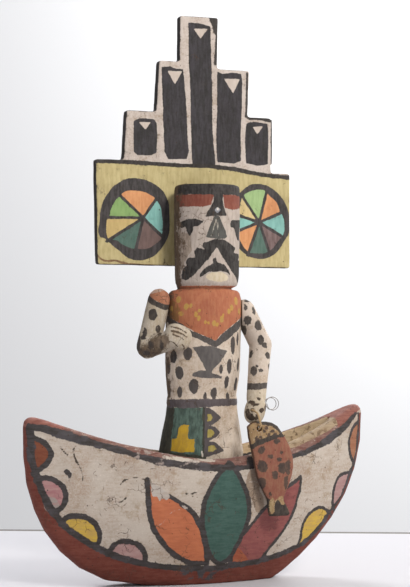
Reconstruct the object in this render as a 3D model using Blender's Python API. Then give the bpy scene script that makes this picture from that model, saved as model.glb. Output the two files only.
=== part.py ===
"""A carved and painted wooden doll that stands in a dugout boat, with a fish on a line.

Sizes are in millimetres, and MM turns them to metres when a mesh is made. X runs along the
boat to the viewer's right, Y runs away from the viewer, Z is up. The origin is the middle of
the boat's flat underside.
"""

import math

import bmesh
import bpy
from mathutils import Matrix, Vector

MM = 0.001
GAP = 0.3

# Boat
BOAT_LENGTH = 284.4
BOAT_BEAM = 80.0
SHEER_HEIGHT = 99.5
LEFT_TIP_RISE = 35.5
RIGHT_TIP_RISE = 41.0
LEFT_SHEER_POWER = 1.5
RIGHT_SHEER_POWER = 1.9
TIP_ROUND_DROP = 2.5
LEFT_STEM = (1.105, 2.1, 2.1)
RIGHT_STEM = (1.307, 2.3, 1.1)
TIP_WIDTH = 15.0
LEFT_FLAT = 46.0
RIGHT_FLAT = 62.0
FLAT_BOTTOM_WIDTH = 34.0
WALL = 8.0
FLOOR = 20.0
END_WALL = 28.0
ABOVE_RIM = 8.0
RIM_ROUND_DROP = 6.5
RIM_ROUND_WIDTH = 4.5
SECTION_CURVE = 2.5

# Doll, with its heights measured from the boat's floor
DOLL_X = 2.5
LEAN = math.radians(1.25)
LEAN_FROM = 80.0
HEAD_WIDTH = 53.6
HEAD_DEPTH = 48.4
HEAD_BASE = 213.3
HEAD_TOP = 294.5
HEAD_BACK = 21.3
SHOULDER_WIDTH = 62.4
CHEST_WIDTH = 61.4
WAIST_WIDTH = 56.0
KILT_WIDTH = 68.8
DOLL_SEGMENTS = 36

# Stepped board behind the head
BOARD_THICKNESS = 9.0
BOARD_EDGE_ROUND = 0.8
BOARD_BASE = 230.5
BOARD_MIDDLE_X = 6.2

# Arms: each joint is its distance out from the body's side, its Y and its height above the floor
RIGHT_SHOULDER = (7.6, -3.0, 203.0)
RIGHT_ELBOW = (16.8, -6.0, 166.0)
RIGHT_WRIST = (5.4, -21.0, 171.0)
RIGHT_FIST = (-1.0, -24.5, 174.0)
LEFT_SHOULDER = (1.6, -3.0, 195.0)
LEFT_ELBOW = (14.4, -9.0, 167.5)
HAND_FROM_MIDDLE = 32.7
HAND_BEHIND_FISH = 11.5
HAND_HEIGHT = 116.2
ARM_WIDTH = 18.0
WRIST_WIDTH = 15.4
FIST_LENGTH = 23.0
FIST_WIDTH = 20.0
FIST_DEPTH = 15.0
HAND_WIDTH = 16.6
HAND_DEPTH = 15.6
HAND_LENGTH = 22.0
CORD_HOLE = 3.0
WIRE_HOLE = 3.0
FINGER_GROOVE = 1.5
CORD_HOLE_OFFSET = (-4.6, 0.6)
LOWER_HOLE_OFFSET = (-1.6, -3.4)
WIRE_HOLE_RISE = 5.2

# Fish on its line
FISH_THICKNESS = 9.0
FISH_LENGTH = 74.0
FISH_WIDTH = 33.0
FISH_TO_BOAT = 1.2
FISH_FROM_MIDDLE = 31.0
FISH_TOP_HEIGHT = 108.2
FISH_EYE = 4.4
EYE_BELOW_TOP = 5.4
CORD_WIDTH = 1.6
WIRE_WIDTH = 0.6
WIRE_LOOP_WIDTH = 10.6

# Colours, linear red, green and blue
CREAM = (0.58, 0.50, 0.42)
YELLOW = (0.62, 0.50, 0.12)
RED = (0.36, 0.09, 0.06)
TAN = (0.50, 0.33, 0.18)
STEEL = (0.50, 0.50, 0.50)


def material(name, colour, roughness=0.8, metallic=0.0):
    """A plain finish in one colour."""
    made = bpy.data.materials.new(name)
    made.use_nodes = True
    shader = made.node_tree.nodes["Principled BSDF"]
    shader.inputs["Base Color"].default_value = (*colour, 1.0)
    shader.inputs["Roughness"].default_value = roughness
    shader.inputs["Metallic"].default_value = metallic
    return made


def finish(name, bm, colour=None, smooth=38.0, **looks):
    """Turn a mesh that was drawn in millimetres into an object in metres."""
    bmesh.ops.remove_doubles(bm, verts=bm.verts, dist=0.01)
    bmesh.ops.recalc_face_normals(bm, faces=bm.faces)
    bmesh.ops.scale(bm, vec=(MM, MM, MM), verts=bm.verts)
    mesh = bpy.data.meshes.new(name)
    bm.to_mesh(mesh)
    bm.free()
    mesh.shade_smooth()
    mesh.set_sharp_from_angle(angle=math.radians(smooth))
    made = bpy.data.objects.new(name, mesh)
    bpy.context.scene.collection.objects.link(made)
    if colour is not None:
        mesh.materials.append(material(name + "_finish", colour, **looks))
    return made


def tool(name, bm):
    """A shape that only cuts or joins another one, so it is not a piece itself."""
    made = finish(name, bm)
    made.hide_render = True
    made.display_type = "WIRE"
    return made


def combine(piece, other, operation):
    """Join or cut a piece with another shape."""
    step = piece.modifiers.new(other.name, "BOOLEAN")
    step.operation = operation
    step.solver = "EXACT"
    step.object = other


def skin(rings, caps=True):
    """A closed surface over rings that have the same number of points."""
    bm = bmesh.new()
    loops = [[bm.verts.new(point) for point in ring] for ring in rings]
    for lower, upper in zip(loops, loops[1:]):
        for here in range(len(lower)):
            after = (here + 1) % len(lower)
            bm.faces.new((lower[here], lower[after], upper[after], upper[here]))
    if caps:
        bm.faces.new(loops[0])
        bm.faces.new(loops[-1])
    return bm


def blend(start, end, share):
    return start + (end - start) * share


# Boat


def sheer(x):
    """Height of the gunwale, which rises in a hollow curve to both tips."""
    share = min(1.0, abs(x) / (BOAT_LENGTH / 2))
    if x < 0:
        rise = LEFT_TIP_RISE * share ** LEFT_SHEER_POWER
    else:
        rise = RIGHT_TIP_RISE * share ** RIGHT_SHEER_POWER
    return SHEER_HEIGHT + rise - TIP_ROUND_DROP * share ** 40


def stem(z, side):
    """Half length of the hull at a height: a bluff left end and a more raked right end.

    Each stem is the height where it stands upright, as a share of the sheer's, and two powers
    that set how full its curve is.
    """
    flat = LEFT_FLAT if side < 0 else RIGHT_FLAT
    top, power, root = LEFT_STEM if side < 0 else RIGHT_STEM
    half = BOAT_LENGTH / 2
    share = min(1.0, max(0.0, z / (SHEER_HEIGHT * top)))
    return flat + (half - flat) * (1 - (1 - share) ** power) ** (1 / root)


def half_breadth(share, z):
    """Half width of the hull at a share of its length and a height."""
    low = FLAT_BOTTOM_WIDTH / BOAT_BEAM
    height = min(1.0, z / SHEER_HEIGHT)
    widest = BOAT_BEAM / 2 * (1 - (1 - low) * (1 - height) ** SECTION_CURVE)
    tip = min(TIP_WIDTH / 2, widest)
    return (widest - tip) * (1 - share ** 2) + tip * math.sqrt(max(0.0, 1 - abs(share) ** 50))


def boat_section(share, levels):
    """One ring across the hull: flat bottom, side, rounded rim, top, and back down."""
    half = BOAT_LENGTH / 2
    near = []
    for level in range(levels + 1):
        high = sheer(share * half) - RIM_ROUND_DROP
        z = high * (level / levels) ** 1.5
        near.append((share * stem(z, share), half_breadth(share, z), z))
    x, y, z = near[-1]
    for turn in (30, 60, 90):
        angle = math.radians(turn)
        inset = RIM_ROUND_WIDTH * (1 - math.cos(angle))
        rise = RIM_ROUND_DROP * math.sin(angle)
        near.append((x * (1 - inset / half), max(y - inset, y * 0.4), z + rise))
    left = [Vector((x, -y, z)) for x, y, z in near]
    right = [Vector((x, y, z)) for x, y, z in reversed(near)]
    return [Vector((near[0][0], 0, 0))] + left + [Vector((near[-1][0], 0, near[-1][2]))] + right


def end_spaced(count):
    """Shares from one tip to the other, closer together near the tips."""
    return [math.sin(math.pi / 2 * (2 * step / count - 1)) for step in range(count + 1)]


def boat_hollow():
    """The space inside the boat, cut out with a wall of even thickness."""
    rings = []
    levels = 6
    for share in end_spaced(30):
        side = []
        reach = BOAT_LENGTH / 2 - END_WALL
        top = sheer(share * reach) + ABOVE_RIM
        for level in range(levels + 1):
            z = blend(FLOOR, top, (level / levels) ** 1.3)
            inner = stem(z, share) - END_WALL
            x = share * inner
            outer = half_breadth(x / stem(z, share), z)
            side.append((x, (outer - WALL) * math.sqrt(max(0.0, 1 - abs(share) ** 6)), z))
        near = [Vector((x, -y, z)) for x, y, z in side]
        far = [Vector((x, y, z)) for x, y, z in reversed(side)]
        low = Vector((side[0][0], 0, side[0][2]))
        high = Vector((side[-1][0], 0, side[-1][2]))
        rings.append([low] + near + [high] + far)
    return tool("boat_hollow", skin(rings, caps=False))


def boat():
    rings = [boat_section(share, 8) for share in end_spaced(42)]
    made = finish("boat", skin(rings, caps=False), CREAM, smooth=35.0)
    combine(made, boat_hollow(), "DIFFERENCE")
    return made


# Doll


def axis(height):
    """X of the doll's middle at a height above the boat's floor: the doll leans a little."""
    return DOLL_X + (height - LEAN_FROM) * math.tan(LEAN)


def doll_sections():
    """Height, half width, half depth and squareness of the doll, from its foot to its crown."""
    kilt, waist, chest = KILT_WIDTH / 2, WAIST_WIDTH / 2, CHEST_WIDTH / 2
    shoulder, head, deep = SHOULDER_WIDTH / 2, HEAD_WIDTH / 2, HEAD_DEPTH / 2
    base, top = HEAD_BASE, HEAD_TOP
    body = [
        (GAP, kilt * 0.66, kilt * 0.40, 2.0),
        (14.0, kilt * 0.76, kilt * 0.46, 2.0),
        (40.0, kilt * 0.90, kilt * 0.58, 2.1),
        (66.0, kilt * 0.99, kilt * 0.68, 2.1),
        (83.0, kilt, kilt * 0.72, 2.2),
        (99.0, kilt * 0.925, kilt * 0.69, 2.2),
        (112.0, waist * 1.045, waist * 0.775, 2.2),
        (120.0, waist * 1.02, waist * 0.755, 2.1),
        (120.9, waist * 1.035, waist * 0.77, 2.1),
        (125.6, waist * 1.02, waist * 0.76, 2.1),
        (126.6, waist, waist * 0.735, 2.1),
        (133.0, waist * 1.03, waist * 0.745, 2.1),
        (143.0, chest * 0.985, chest * 0.71, 2.1),
        (157.0, chest, chest * 0.725, 2.1),
        (173.0, chest, chest * 0.73, 2.1),
        (186.0, shoulder * 0.995, shoulder * 0.71, 2.1),
        (196.0, shoulder, shoulder * 0.69, 2.1),
        (204.0, shoulder * 0.98, shoulder * 0.66, 2.1),
        (208.6, shoulder * 0.93, shoulder * 0.635, 2.1),
        (210.6, shoulder * 0.86, shoulder * 0.61, 2.1),
        (211.4, shoulder * 0.69, shoulder * 0.56, 2.0),
    ]
    mask = [
        (base - 0.9, head * 0.80, deep * 0.76, 2.0),
        (base, head * 0.835, deep * 0.82, 2.0),
        (base + 3.0, head * 0.90, deep * 0.90, 2.0),
        (base + 9.0, head * 0.95, deep * 0.95, 2.0),
        (base + 20.0, head * 0.98, deep * 0.985, 2.0),
        (base + 36.0, head, deep, 2.0),
        (base + 58.0, head, deep, 2.0),
        (top - 7.0, head * 0.995, deep * 0.995, 2.0),
        (top - 3.0, head * 0.98, deep * 0.98, 2.0),
        (top - 0.9, head * 0.94, deep * 0.93, 2.0),
        (top, head * 0.87, deep * 0.86, 2.0),
    ]
    return body, mask


def oval(height, wide, deep, square, back=None, grow=0.0):
    """One level ring of the doll, flat at the back where the board is fixed."""
    points = []
    for step in range(DOLL_SEGMENTS):
        angle = 2 * math.pi * (step + 0.5) / DOLL_SEGMENTS
        across, along = math.cos(angle), math.sin(angle)
        x = (wide + grow) * math.copysign(abs(across) ** (2 / square), across)
        y = (deep + grow) * math.copysign(abs(along) ** (2 / square), along)
        if back is not None:
            y = min(y, back)
        points.append(Vector((axis(height) + x, y, FLOOR + height)))
    return points


def doll_rings(grow=0.0):
    body, mask = doll_sections()
    rings = [oval(*section, grow=grow) for section in body]
    rings += [oval(*section, back=HEAD_BACK, grow=grow) for section in mask]
    return rings


def figure():
    return finish("figure", skin(doll_rings()), CREAM, smooth=32.0)


# Board


def board_outline():
    """The board's outline: each step has its own hand-cut edges.

    A step is the left and right edge at its bottom, the left and right edge at its top, and the
    height of the left and right top corner, all from the middle of the board's lower edge.
    """
    steps = [
        (-83.0, 82.7, -84.8, 82.5, 84.7, 77.8),
        (-61.6, 65.8, -59.2, 65.1, 124.6, 123.4),
        (-34.2, 44.2, -31.7, 44.2, 166.0, 161.6),
        (-14.1, 17.8, -13.9, 17.4, 203.4, 203.6),
    ]
    left, right = [], []
    for low_left, low_right, top_left, top_right, high_left, high_right in steps:
        below_left = left[-1][1] if left else 0.7
        below_right = right[-1][1] if right else -0.7
        left += [(low_left, below_left), (top_left, high_left)]
        right += [(low_right, below_right), (top_right, high_right)]
    return [(BOARD_MIDDLE_X + x, FLOOR + BOARD_BASE + z) for x, z in left + right[::-1]]


def tablita():
    front = HEAD_BACK + GAP
    bm = bmesh.new()
    face = bm.faces.new([bm.verts.new((x, front, z)) for x, z in board_outline()])
    grown = bmesh.ops.extrude_face_region(bm, geom=[face])
    back = [item for item in grown["geom"] if isinstance(item, bmesh.types.BMVert)]
    bmesh.ops.translate(bm, vec=(0, BOARD_THICKNESS, 0), verts=back)
    bmesh.ops.recalc_face_normals(bm, faces=bm.faces)
    upright = [edge for edge in bm.edges if abs(edge.verts[0].co.y - edge.verts[1].co.y) > 1]
    bmesh.ops.bevel(bm, geom=upright, offset=1.6, segments=2, profile=0.5, affect="EDGES",
                    material=-1)
    rim = [edge for edge in bm.edges if edge.calc_face_angle(0) > 1.3]
    bmesh.ops.bevel(bm, geom=rim, offset=BOARD_EDGE_ROUND, segments=2, profile=0.5,
                    affect="EDGES", material=-1)
    return finish("tablita", bm, YELLOW, smooth=30.0)


# Arms


def limb(start, end, start_width, end_width, flat=1.0):
    """A tapered limb with round ends; flat makes it less deep than wide."""
    start, end = Vector(start), Vector(end)
    along = (end - start).normalized()
    across = along.cross(Vector((0, 1, 0))).normalized()
    deep = across.cross(along)
    rings = []
    steps = [(-80, 0), (-50, 0), (-22, 0), (0, 0), (0, 1), (22, 1), (50, 1), (80, 1)]
    for angle, share in steps:
        turn = math.radians(angle)
        width = blend(start_width, end_width, share) / 2
        middle = start.lerp(end, share) + along * width * math.sin(turn)
        radius = width * math.cos(turn)
        ring = []
        for step in range(18):
            round_turn = 2 * math.pi * step / 18
            out = across * math.cos(round_turn) + deep * math.sin(round_turn) * flat
            ring.append(middle + out * radius)
        rings.append(ring)
    return skin(rings)


def pebble(centre, size, turn, square=2.5):
    """A rounded block, for a fist or a hand."""
    bm = bmesh.new()
    bmesh.ops.create_uvsphere(bm, u_segments=20, v_segments=12, radius=1.0)
    for vert in bm.verts:
        for index in range(3):
            part = vert.co[index]
            vert.co[index] = math.copysign(abs(part) ** (2 / square), part) * size[index] / 2
    bmesh.ops.rotate(bm, cent=(0, 0, 0), matrix=turn, verts=bm.verts)
    bmesh.ops.translate(bm, vec=centre, verts=bm.verts)
    return bm


def rod(start, end, width, sides=10):
    """A straight round bar between two points, for a drilled hole or a cut groove."""
    start, end = Vector(start), Vector(end)
    turn = (end - start).to_track_quat("Z", "Y").to_matrix()
    bm = bmesh.new()
    bmesh.ops.create_cone(bm, cap_ends=True, segments=sides, radius1=width / 2,
                          radius2=width / 2, depth=(end - start).length)
    bmesh.ops.rotate(bm, cent=(0, 0, 0), matrix=turn, verts=bm.verts)
    bmesh.ops.translate(bm, vec=(start + end) / 2, verts=bm.verts)
    return bm


def by_doll(side, out, y, height):
    """A joint on one side of the doll: the side is -1 for the viewer's left and 1 for right."""
    return Vector((axis(height) + side * (SHOULDER_WIDTH / 2 + out), y, FLOOR + height))


def grooves(piece, name, centre, turn, places, length):
    """Cut the lines between the fingers."""
    for index, (offset, depth_offset) in enumerate(places):
        middle = centre + turn @ Vector((length * 0.28, depth_offset, offset))
        reach = turn @ Vector((length * 0.34, 0, 0))
        cut = rod(middle - reach, middle + reach, FINGER_GROOVE, sides=6)
        combine(piece, tool(f"{name}_groove_{index}", cut), "DIFFERENCE")


def body_clearance():
    """The doll's body with a hair's gap, which trims the arms where they meet it."""
    return tool("body_clearance", skin(doll_rings(grow=GAP)))


def right_arm(clearance):
    """The bent arm on the viewer's left, with its fist on the chest."""
    shoulder, elbow = by_doll(-1, *RIGHT_SHOULDER), by_doll(-1, *RIGHT_ELBOW)
    wrist, fist = by_doll(-1, *RIGHT_WRIST), by_doll(-1, *RIGHT_FIST)
    made = finish("right_arm", limb(shoulder, elbow, ARM_WIDTH, ARM_WIDTH * 1.04), CREAM)
    combine(made, tool("right_forearm", limb(elbow, wrist, ARM_WIDTH, ARM_WIDTH * 0.9)), "UNION")
    turn = Matrix.Rotation(math.radians(22), 3, "Y") @ Matrix.Rotation(math.radians(10), 3, "Z")
    block = pebble(fist, (FIST_LENGTH, FIST_DEPTH, FIST_WIDTH), turn)
    combine(made, tool("right_fist", block), "UNION")
    grooves(made, "right_arm", fist, turn, [(4.6, -7.2), (0.4, -7.7), (-3.8, -7.4)], FIST_LENGTH)
    combine(made, clearance, "DIFFERENCE")
    return made


def hand_place():
    """Middle of the hand that holds the line, in front of the boat's near wall."""
    x = axis(HAND_HEIGHT) + HAND_FROM_MIDDLE
    return Vector((x, fish_plane() + HAND_BEHIND_FISH, FLOOR + HAND_HEIGHT))


def cord_hole_mouth():
    """Where the line leaves the front of the hand."""
    across, rise = CORD_HOLE_OFFSET
    return hand_place() + Vector((across, -HAND_DEPTH / 2, rise))


def lower_hole_mouth():
    """Where the line goes back into the hand from below."""
    return hand_place() + Vector((*LOWER_HOLE_OFFSET, -HAND_LENGTH / 2))


def wire_hole_mouth():
    return hand_place() + Vector((HAND_WIDTH / 2, 0, WIRE_HOLE_RISE))


def left_arm(clearance):
    """The hanging arm on the viewer's right, whose hand holds the line."""
    shoulder, elbow = by_doll(1, *LEFT_SHOULDER), by_doll(1, *LEFT_ELBOW)
    hand = hand_place()
    wrist = hand + Vector((2.6, 4.4, 9.0))
    made = finish("left_arm", limb(shoulder, elbow, ARM_WIDTH, ARM_WIDTH), CREAM)
    forearm = limb(elbow, wrist, ARM_WIDTH * 1.02, WRIST_WIDTH)
    combine(made, tool("left_forearm", forearm), "UNION")
    turn = Matrix.Rotation(math.radians(14), 3, "Y")
    block = pebble(hand, (HAND_WIDTH, HAND_DEPTH, HAND_LENGTH), turn, square=2.3)
    combine(made, tool("left_hand", block), "UNION")
    combine(made, clearance, "DIFFERENCE")
    mouth = cord_hole_mouth()
    hole = rod(mouth - Vector((0, 4, 0)), mouth + Vector((0, 6, 0)), CORD_HOLE)
    combine(made, tool("cord_hole", hole), "DIFFERENCE")
    low = lower_hole_mouth()
    lower_hole = rod(low - Vector((0, 0, 4)), low + Vector((0, 0, 5)), CORD_HOLE)
    combine(made, tool("lower_cord_hole", lower_hole), "DIFFERENCE")
    side_mouth = wire_hole_mouth()
    wire_hole = rod(side_mouth - Vector((5, 0, 0)), side_mouth + Vector((5, 0, 0)), WIRE_HOLE)
    combine(made, tool("wire_hole", wire_hole), "DIFFERENCE")
    return made


# Fish and line


def fish_plane():
    """Y of the fish's middle: it hangs just outside the boat's near wall."""
    rim = SHEER_HEIGHT - RIM_ROUND_DROP
    at = fish_x() / stem(rim, 1)
    return -(half_breadth(at, rim) + FISH_TO_BOAT + FISH_THICKNESS / 2)


def fish_x():
    return axis(HAND_HEIGHT) + FISH_FROM_MIDDLE


def fish_top():
    return FLOOR + FISH_TOP_HEIGHT


def fish_rows():
    """Left edge, right edge and thickness down the fish, as shares of its width and length."""
    return [
        (0.000, 0.18, 0.44, 0.35),
        (0.012, 0.05, 0.58, 0.62),
        (0.050, -0.05, 0.73, 0.84),
        (0.160, -0.02, 0.91, 0.95),
        (0.270, 0.04, 1.04, 1.00),
        (0.380, 0.10, 1.12, 1.00),
        (0.480, 0.14, 1.13, 1.00),
        (0.580, 0.20, 1.09, 0.98),
        (0.670, 0.28, 1.02, 0.92),
        (0.750, 0.37, 0.94, 0.82),
        (0.815, 0.45, 0.88, 0.70),
        (0.850, 0.46, 0.90, 0.66),
        (0.920, 0.47, 1.00, 0.60),
        (0.975, 0.49, 1.05, 0.55),
        (1.000, 0.52, 1.01, 0.36),
    ]


def fish_eye():
    return Vector((fish_x() - FISH_WIDTH * 0.016, fish_plane(), fish_top() - EYE_BELOW_TOP))


def fish():
    rings = []
    start = fish_x() - FISH_WIDTH * 0.25
    for down, left, right, thick in fish_rows():
        middle = start + FISH_WIDTH * (left + right) / 2
        wide = FISH_WIDTH * (right - left) / 2
        ring = []
        for step in range(20):
            angle = 2 * math.pi * step / 20
            across, along = math.cos(angle), math.sin(angle)
            x = wide * math.copysign(abs(across) ** 0.75, across)
            y = FISH_THICKNESS / 2 * thick * math.copysign(abs(along) ** 0.6, along)
            ring.append(Vector((middle + x, fish_plane() + y, fish_top() - FISH_LENGTH * down)))
        rings.append(ring)
    made = finish("fish", skin(rings), RED)
    eye = fish_eye()
    reach = Vector((0, FISH_THICKNESS, 0))
    combine(made, tool("fish_eye_hole", rod(eye - reach, eye + reach, FISH_EYE, 12)), "DIFFERENCE")
    return made


def smooth_route(points, spacing):
    """Evenly spaced points on a smooth curve through a route's own points."""
    curve = []
    ends = [points[0] * 2 - points[1]] + points + [points[-1] * 2 - points[-2]]
    for a, b, c, d in zip(ends, ends[1:], ends[2:], ends[3:]):
        for step in range(12):
            t = step / 12
            curve.append(0.5 * ((2 * b) + (c - a) * t + (2 * a - 5 * b + 4 * c - d) * t ** 2
                                + (3 * b - a - 3 * c + d) * t ** 3))
    curve.append(points[-1])
    kept, walked = [curve[0]], 0.0
    for before, after in zip(curve, curve[1:]):
        walked += (after - before).length
        if walked >= spacing:
            kept.append(after)
            walked = 0.0
    if (kept[-1] - curve[-1]).length < spacing * 0.5:
        kept.pop()
    return kept + [curve[-1]]


def tube(name, points, width, colour, sides=2, **looks):
    """A cord or a wire with closed ends along a list of points."""
    curve = bpy.data.curves.new(name, "CURVE")
    curve.dimensions = "3D"
    curve.bevel_depth = width / 2 * MM
    curve.bevel_resolution = sides
    curve.use_fill_caps = True
    spline = curve.splines.new("POLY")
    spline.points.add(len(points) - 1)
    for point, place in zip(spline.points, points):
        point.co = (*(place * MM), 1.0)
    curve.materials.append(material(name + "_finish", colour, **looks))
    made = bpy.data.objects.new(name, curve)
    bpy.context.scene.collection.objects.link(made)
    return made


def fish_cord():
    """The line: out of the hand, down in front, through the fish's eye and up behind it."""
    eye, mouth = fish_eye(), cord_hole_mouth()
    low = lower_hole_mouth()
    front = eye.y - FISH_THICKNESS / 2 - CORD_WIDTH
    behind = eye.y + FISH_THICKNESS / 2 + CORD_WIDTH / 2 - 0.2
    route = [
        mouth + Vector((0, 4.5, 0)),
        mouth + Vector((0, 1.5, 0)),
        Vector((mouth.x, front + 1.8, mouth.z - 1.6)),
        Vector((blend(mouth.x, eye.x, 0.3), front - 0.2, mouth.z - 4.6)),
        Vector((blend(mouth.x, eye.x, 0.7), front - 0.4, mouth.z - 8.6)),
        Vector((eye.x, front + 0.2, eye.z + 3.4)),
        Vector((eye.x, front + 2.2, eye.z + 0.6)),
        Vector((eye.x, eye.y, eye.z - 0.8)),
        Vector((eye.x, behind - 1.9, eye.z + 0.3)),
        Vector((eye.x + 0.3, behind - 0.1, eye.z + 2.8)),
        Vector((low.x, low.y - 0.6, low.z - 1.4)),
        Vector((low.x, low.y, low.z + 1.6)),
        Vector((low.x, low.y, low.z + 3.6)),
    ]
    return tube("fish_cord", smooth_route(route, CORD_WIDTH), CORD_WIDTH, TAN, roughness=0.9)


def wire_loop():
    """Two turns of thin wire with both ends in a hole in the side of the hand."""
    mouth = wire_hole_mouth()
    radius = WIRE_LOOP_WIDTH / 2
    points = [mouth + Vector((-4.0, -0.8, -0.5)), mouth + Vector((-1.5, -0.8, -0.5))]
    centre = mouth + Vector((radius + 1.6, 0, -0.4))
    turns, steps = 2, 18
    for step in range(turns * steps + 1):
        share = step / (turns * steps)
        angle = math.pi * 1.02 + 2 * math.pi * turns * share * 0.985
        size = blend(radius, radius * 0.86, share)
        drift = blend(-0.9, 0.9, share)
        points.append(centre + Vector((size * math.cos(angle), drift, size * math.sin(angle))))
    points += [mouth + Vector((-0.6, 0.9, 0.5)), mouth + Vector((-3.6, 0.9, 0.5))]
    return tube("wire_loop", points, WIRE_WIDTH, STEEL, sides=1, roughness=0.35, metallic=1.0)


def main():
    for old in list(bpy.data.objects):
        bpy.data.objects.remove(old, do_unlink=True)
    boat()
    figure()
    tablita()
    clearance = body_clearance()
    right_arm(clearance)
    left_arm(clearance)
    fish()
    fish_cord()
    wire_loop()


main()
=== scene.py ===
"""Looks of a carved and painted wooden doll in a boat: paint, wear, line, wire, light and camera.

Each carved piece is a finer, welded copy of its CAD node. Its paint is drawn as patches and brush
strokes in millimetres on the piece's own surface. Each colour is kept as one attribute of the
mesh, which says how far a point lies inside that colour, in millimetres, and below zero outside.
The materials read those attributes and give the brushed edges, the wear, the dirt and some painted
shade and light.
"""

import math

import bmesh
import bpy
import numpy as np
from mathutils import Matrix, Vector, noise


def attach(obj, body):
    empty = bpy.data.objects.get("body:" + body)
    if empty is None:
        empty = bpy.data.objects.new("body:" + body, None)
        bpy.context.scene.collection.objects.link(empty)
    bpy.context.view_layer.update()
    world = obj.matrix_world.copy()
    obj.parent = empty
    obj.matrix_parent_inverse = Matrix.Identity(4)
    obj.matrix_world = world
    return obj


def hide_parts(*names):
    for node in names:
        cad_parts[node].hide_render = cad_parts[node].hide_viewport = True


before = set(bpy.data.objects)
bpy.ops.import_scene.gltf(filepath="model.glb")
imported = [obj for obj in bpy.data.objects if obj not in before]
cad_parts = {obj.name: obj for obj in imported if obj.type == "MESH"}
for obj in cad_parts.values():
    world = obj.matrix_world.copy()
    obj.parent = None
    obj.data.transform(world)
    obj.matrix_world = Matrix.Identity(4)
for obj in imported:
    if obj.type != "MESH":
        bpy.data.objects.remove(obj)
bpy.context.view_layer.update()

MM = 0.001
FAR = -6.0  # what a colour's attribute says where the colour isn't near

# Sizes repeated from the part's source, in millimetres
BOAT_LENGTH = 284.4
BOAT_BEAM = 80.0
SHEER_HEIGHT = 99.5
FLAT_BOTTOM_WIDTH = 34.0
TIP_WIDTH = 15.0
WALL = 8.0
END_WALL = 28.0
DOLL_LEAN = math.tan(math.radians(1.25))
DOLL_FOOT_X = 0.75
FLOOR = 20.0
BOARD_FRONT = 21.6
BOARD_BACK = 30.6
LINE_WIDTH = 1.6
WIRE_WIDTH = 0.6
WIRE_LOOP_WIDTH = 10.6

# The hull's ends, as in the source: flat half length, top, power and root
LEFT_STEM = (46.0, 1.105, 2.1, 2.1)
RIGHT_STEM = (62.0, 1.307, 2.3, 1.1)

HEAD_LOW = 233.3  # height of the mask's lower edge
NECK = 234.0  # above it the paint is the mask's, below it the body's
ARC = 0.471  # a degree round the doll is about this many millimetres of its surface

# The photograph in pixels: its height, the focal length, and the horizon below its middle
PHOTO_HEIGHT = 587.0
FOCAL = 1608.0
HORIZON = 26.63
VIEW_TURN = 20.0  # the camera stands this many degrees to the left


# Camera


def facing(degrees):
    """The directions across and straight ahead for one who looks along +Y, turned to the right."""
    turn = math.radians(degrees)
    return (Vector((math.cos(turn), -math.sin(turn), 0.0)),
            Vector((math.sin(turn), math.cos(turn), 0.0)))


def place_camera():
    """The photograph's view: 20 degrees from the left, 207 mm up, from 1.28 m away."""
    distance, shift, height = 1.280, 0.0051, 0.207
    tilt = math.atan(HORIZON / FOCAL)
    across, ahead = facing(VIEW_TURN)
    look = ahead * math.cos(tilt) + Vector((0, 0, 1)) * math.sin(tilt)
    place = across * shift - ahead * distance + Vector((0, 0, height))
    lens = bpy.data.cameras.new("camera")
    lens.sensor_width = 36.0
    lens.lens = lens.sensor_width * FOCAL / PHOTO_HEIGHT
    lens.shift_x = 0.6 / PHOTO_HEIGHT
    camera = bpy.data.objects.new("camera", lens)
    camera.matrix_world = aimed(place, look)
    bpy.context.scene.collection.objects.link(camera)
    bpy.context.scene.camera = camera


def aimed(place, look):
    """Where a camera or a lamp stands at a place and looks in a direction."""
    return Matrix.Translation(place) @ look.to_track_quat("-Z", "Y").to_matrix().to_4x4()


# Materials


def colour(code):
    """Linear red, green, blue and alpha of an sRGB hex colour."""
    values = [int(code[at:at + 2], 16) / 255 for at in (1, 3, 5)]
    linear = [v / 12.92 if v <= 0.04045 else ((v + 0.055) / 1.055) ** 2.4 for v in values]
    return (*linear, 1.0)


def plug(tree, node, inputs):
    """Fill a node's sockets: a value is set, and a node or one of its outputs is linked.

    A node stands for the first of its outputs that are in use.
    """
    for socket, value in inputs.items():
        if isinstance(value, bpy.types.Node):
            value = next(output for output in value.outputs if output.enabled)
        if isinstance(value, bpy.types.NodeSocket):
            tree.links.new(value, node.inputs[socket])
        else:
            node.inputs[socket].default_value = value


def add(tree, kind, inputs=None, **settings):
    """Add a node. Settings are its own options; inputs are its sockets, each a value or a link."""
    made = tree.nodes.new("ShaderNode" + kind)
    for name, value in settings.items():
        setattr(made, name, value)
    plug(tree, made, inputs or {})
    return made


def new_material(name):
    made = bpy.data.materials.new(name)
    made.use_nodes = True
    return made, made.node_tree, made.node_tree.nodes["Principled BSDF"]


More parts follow.
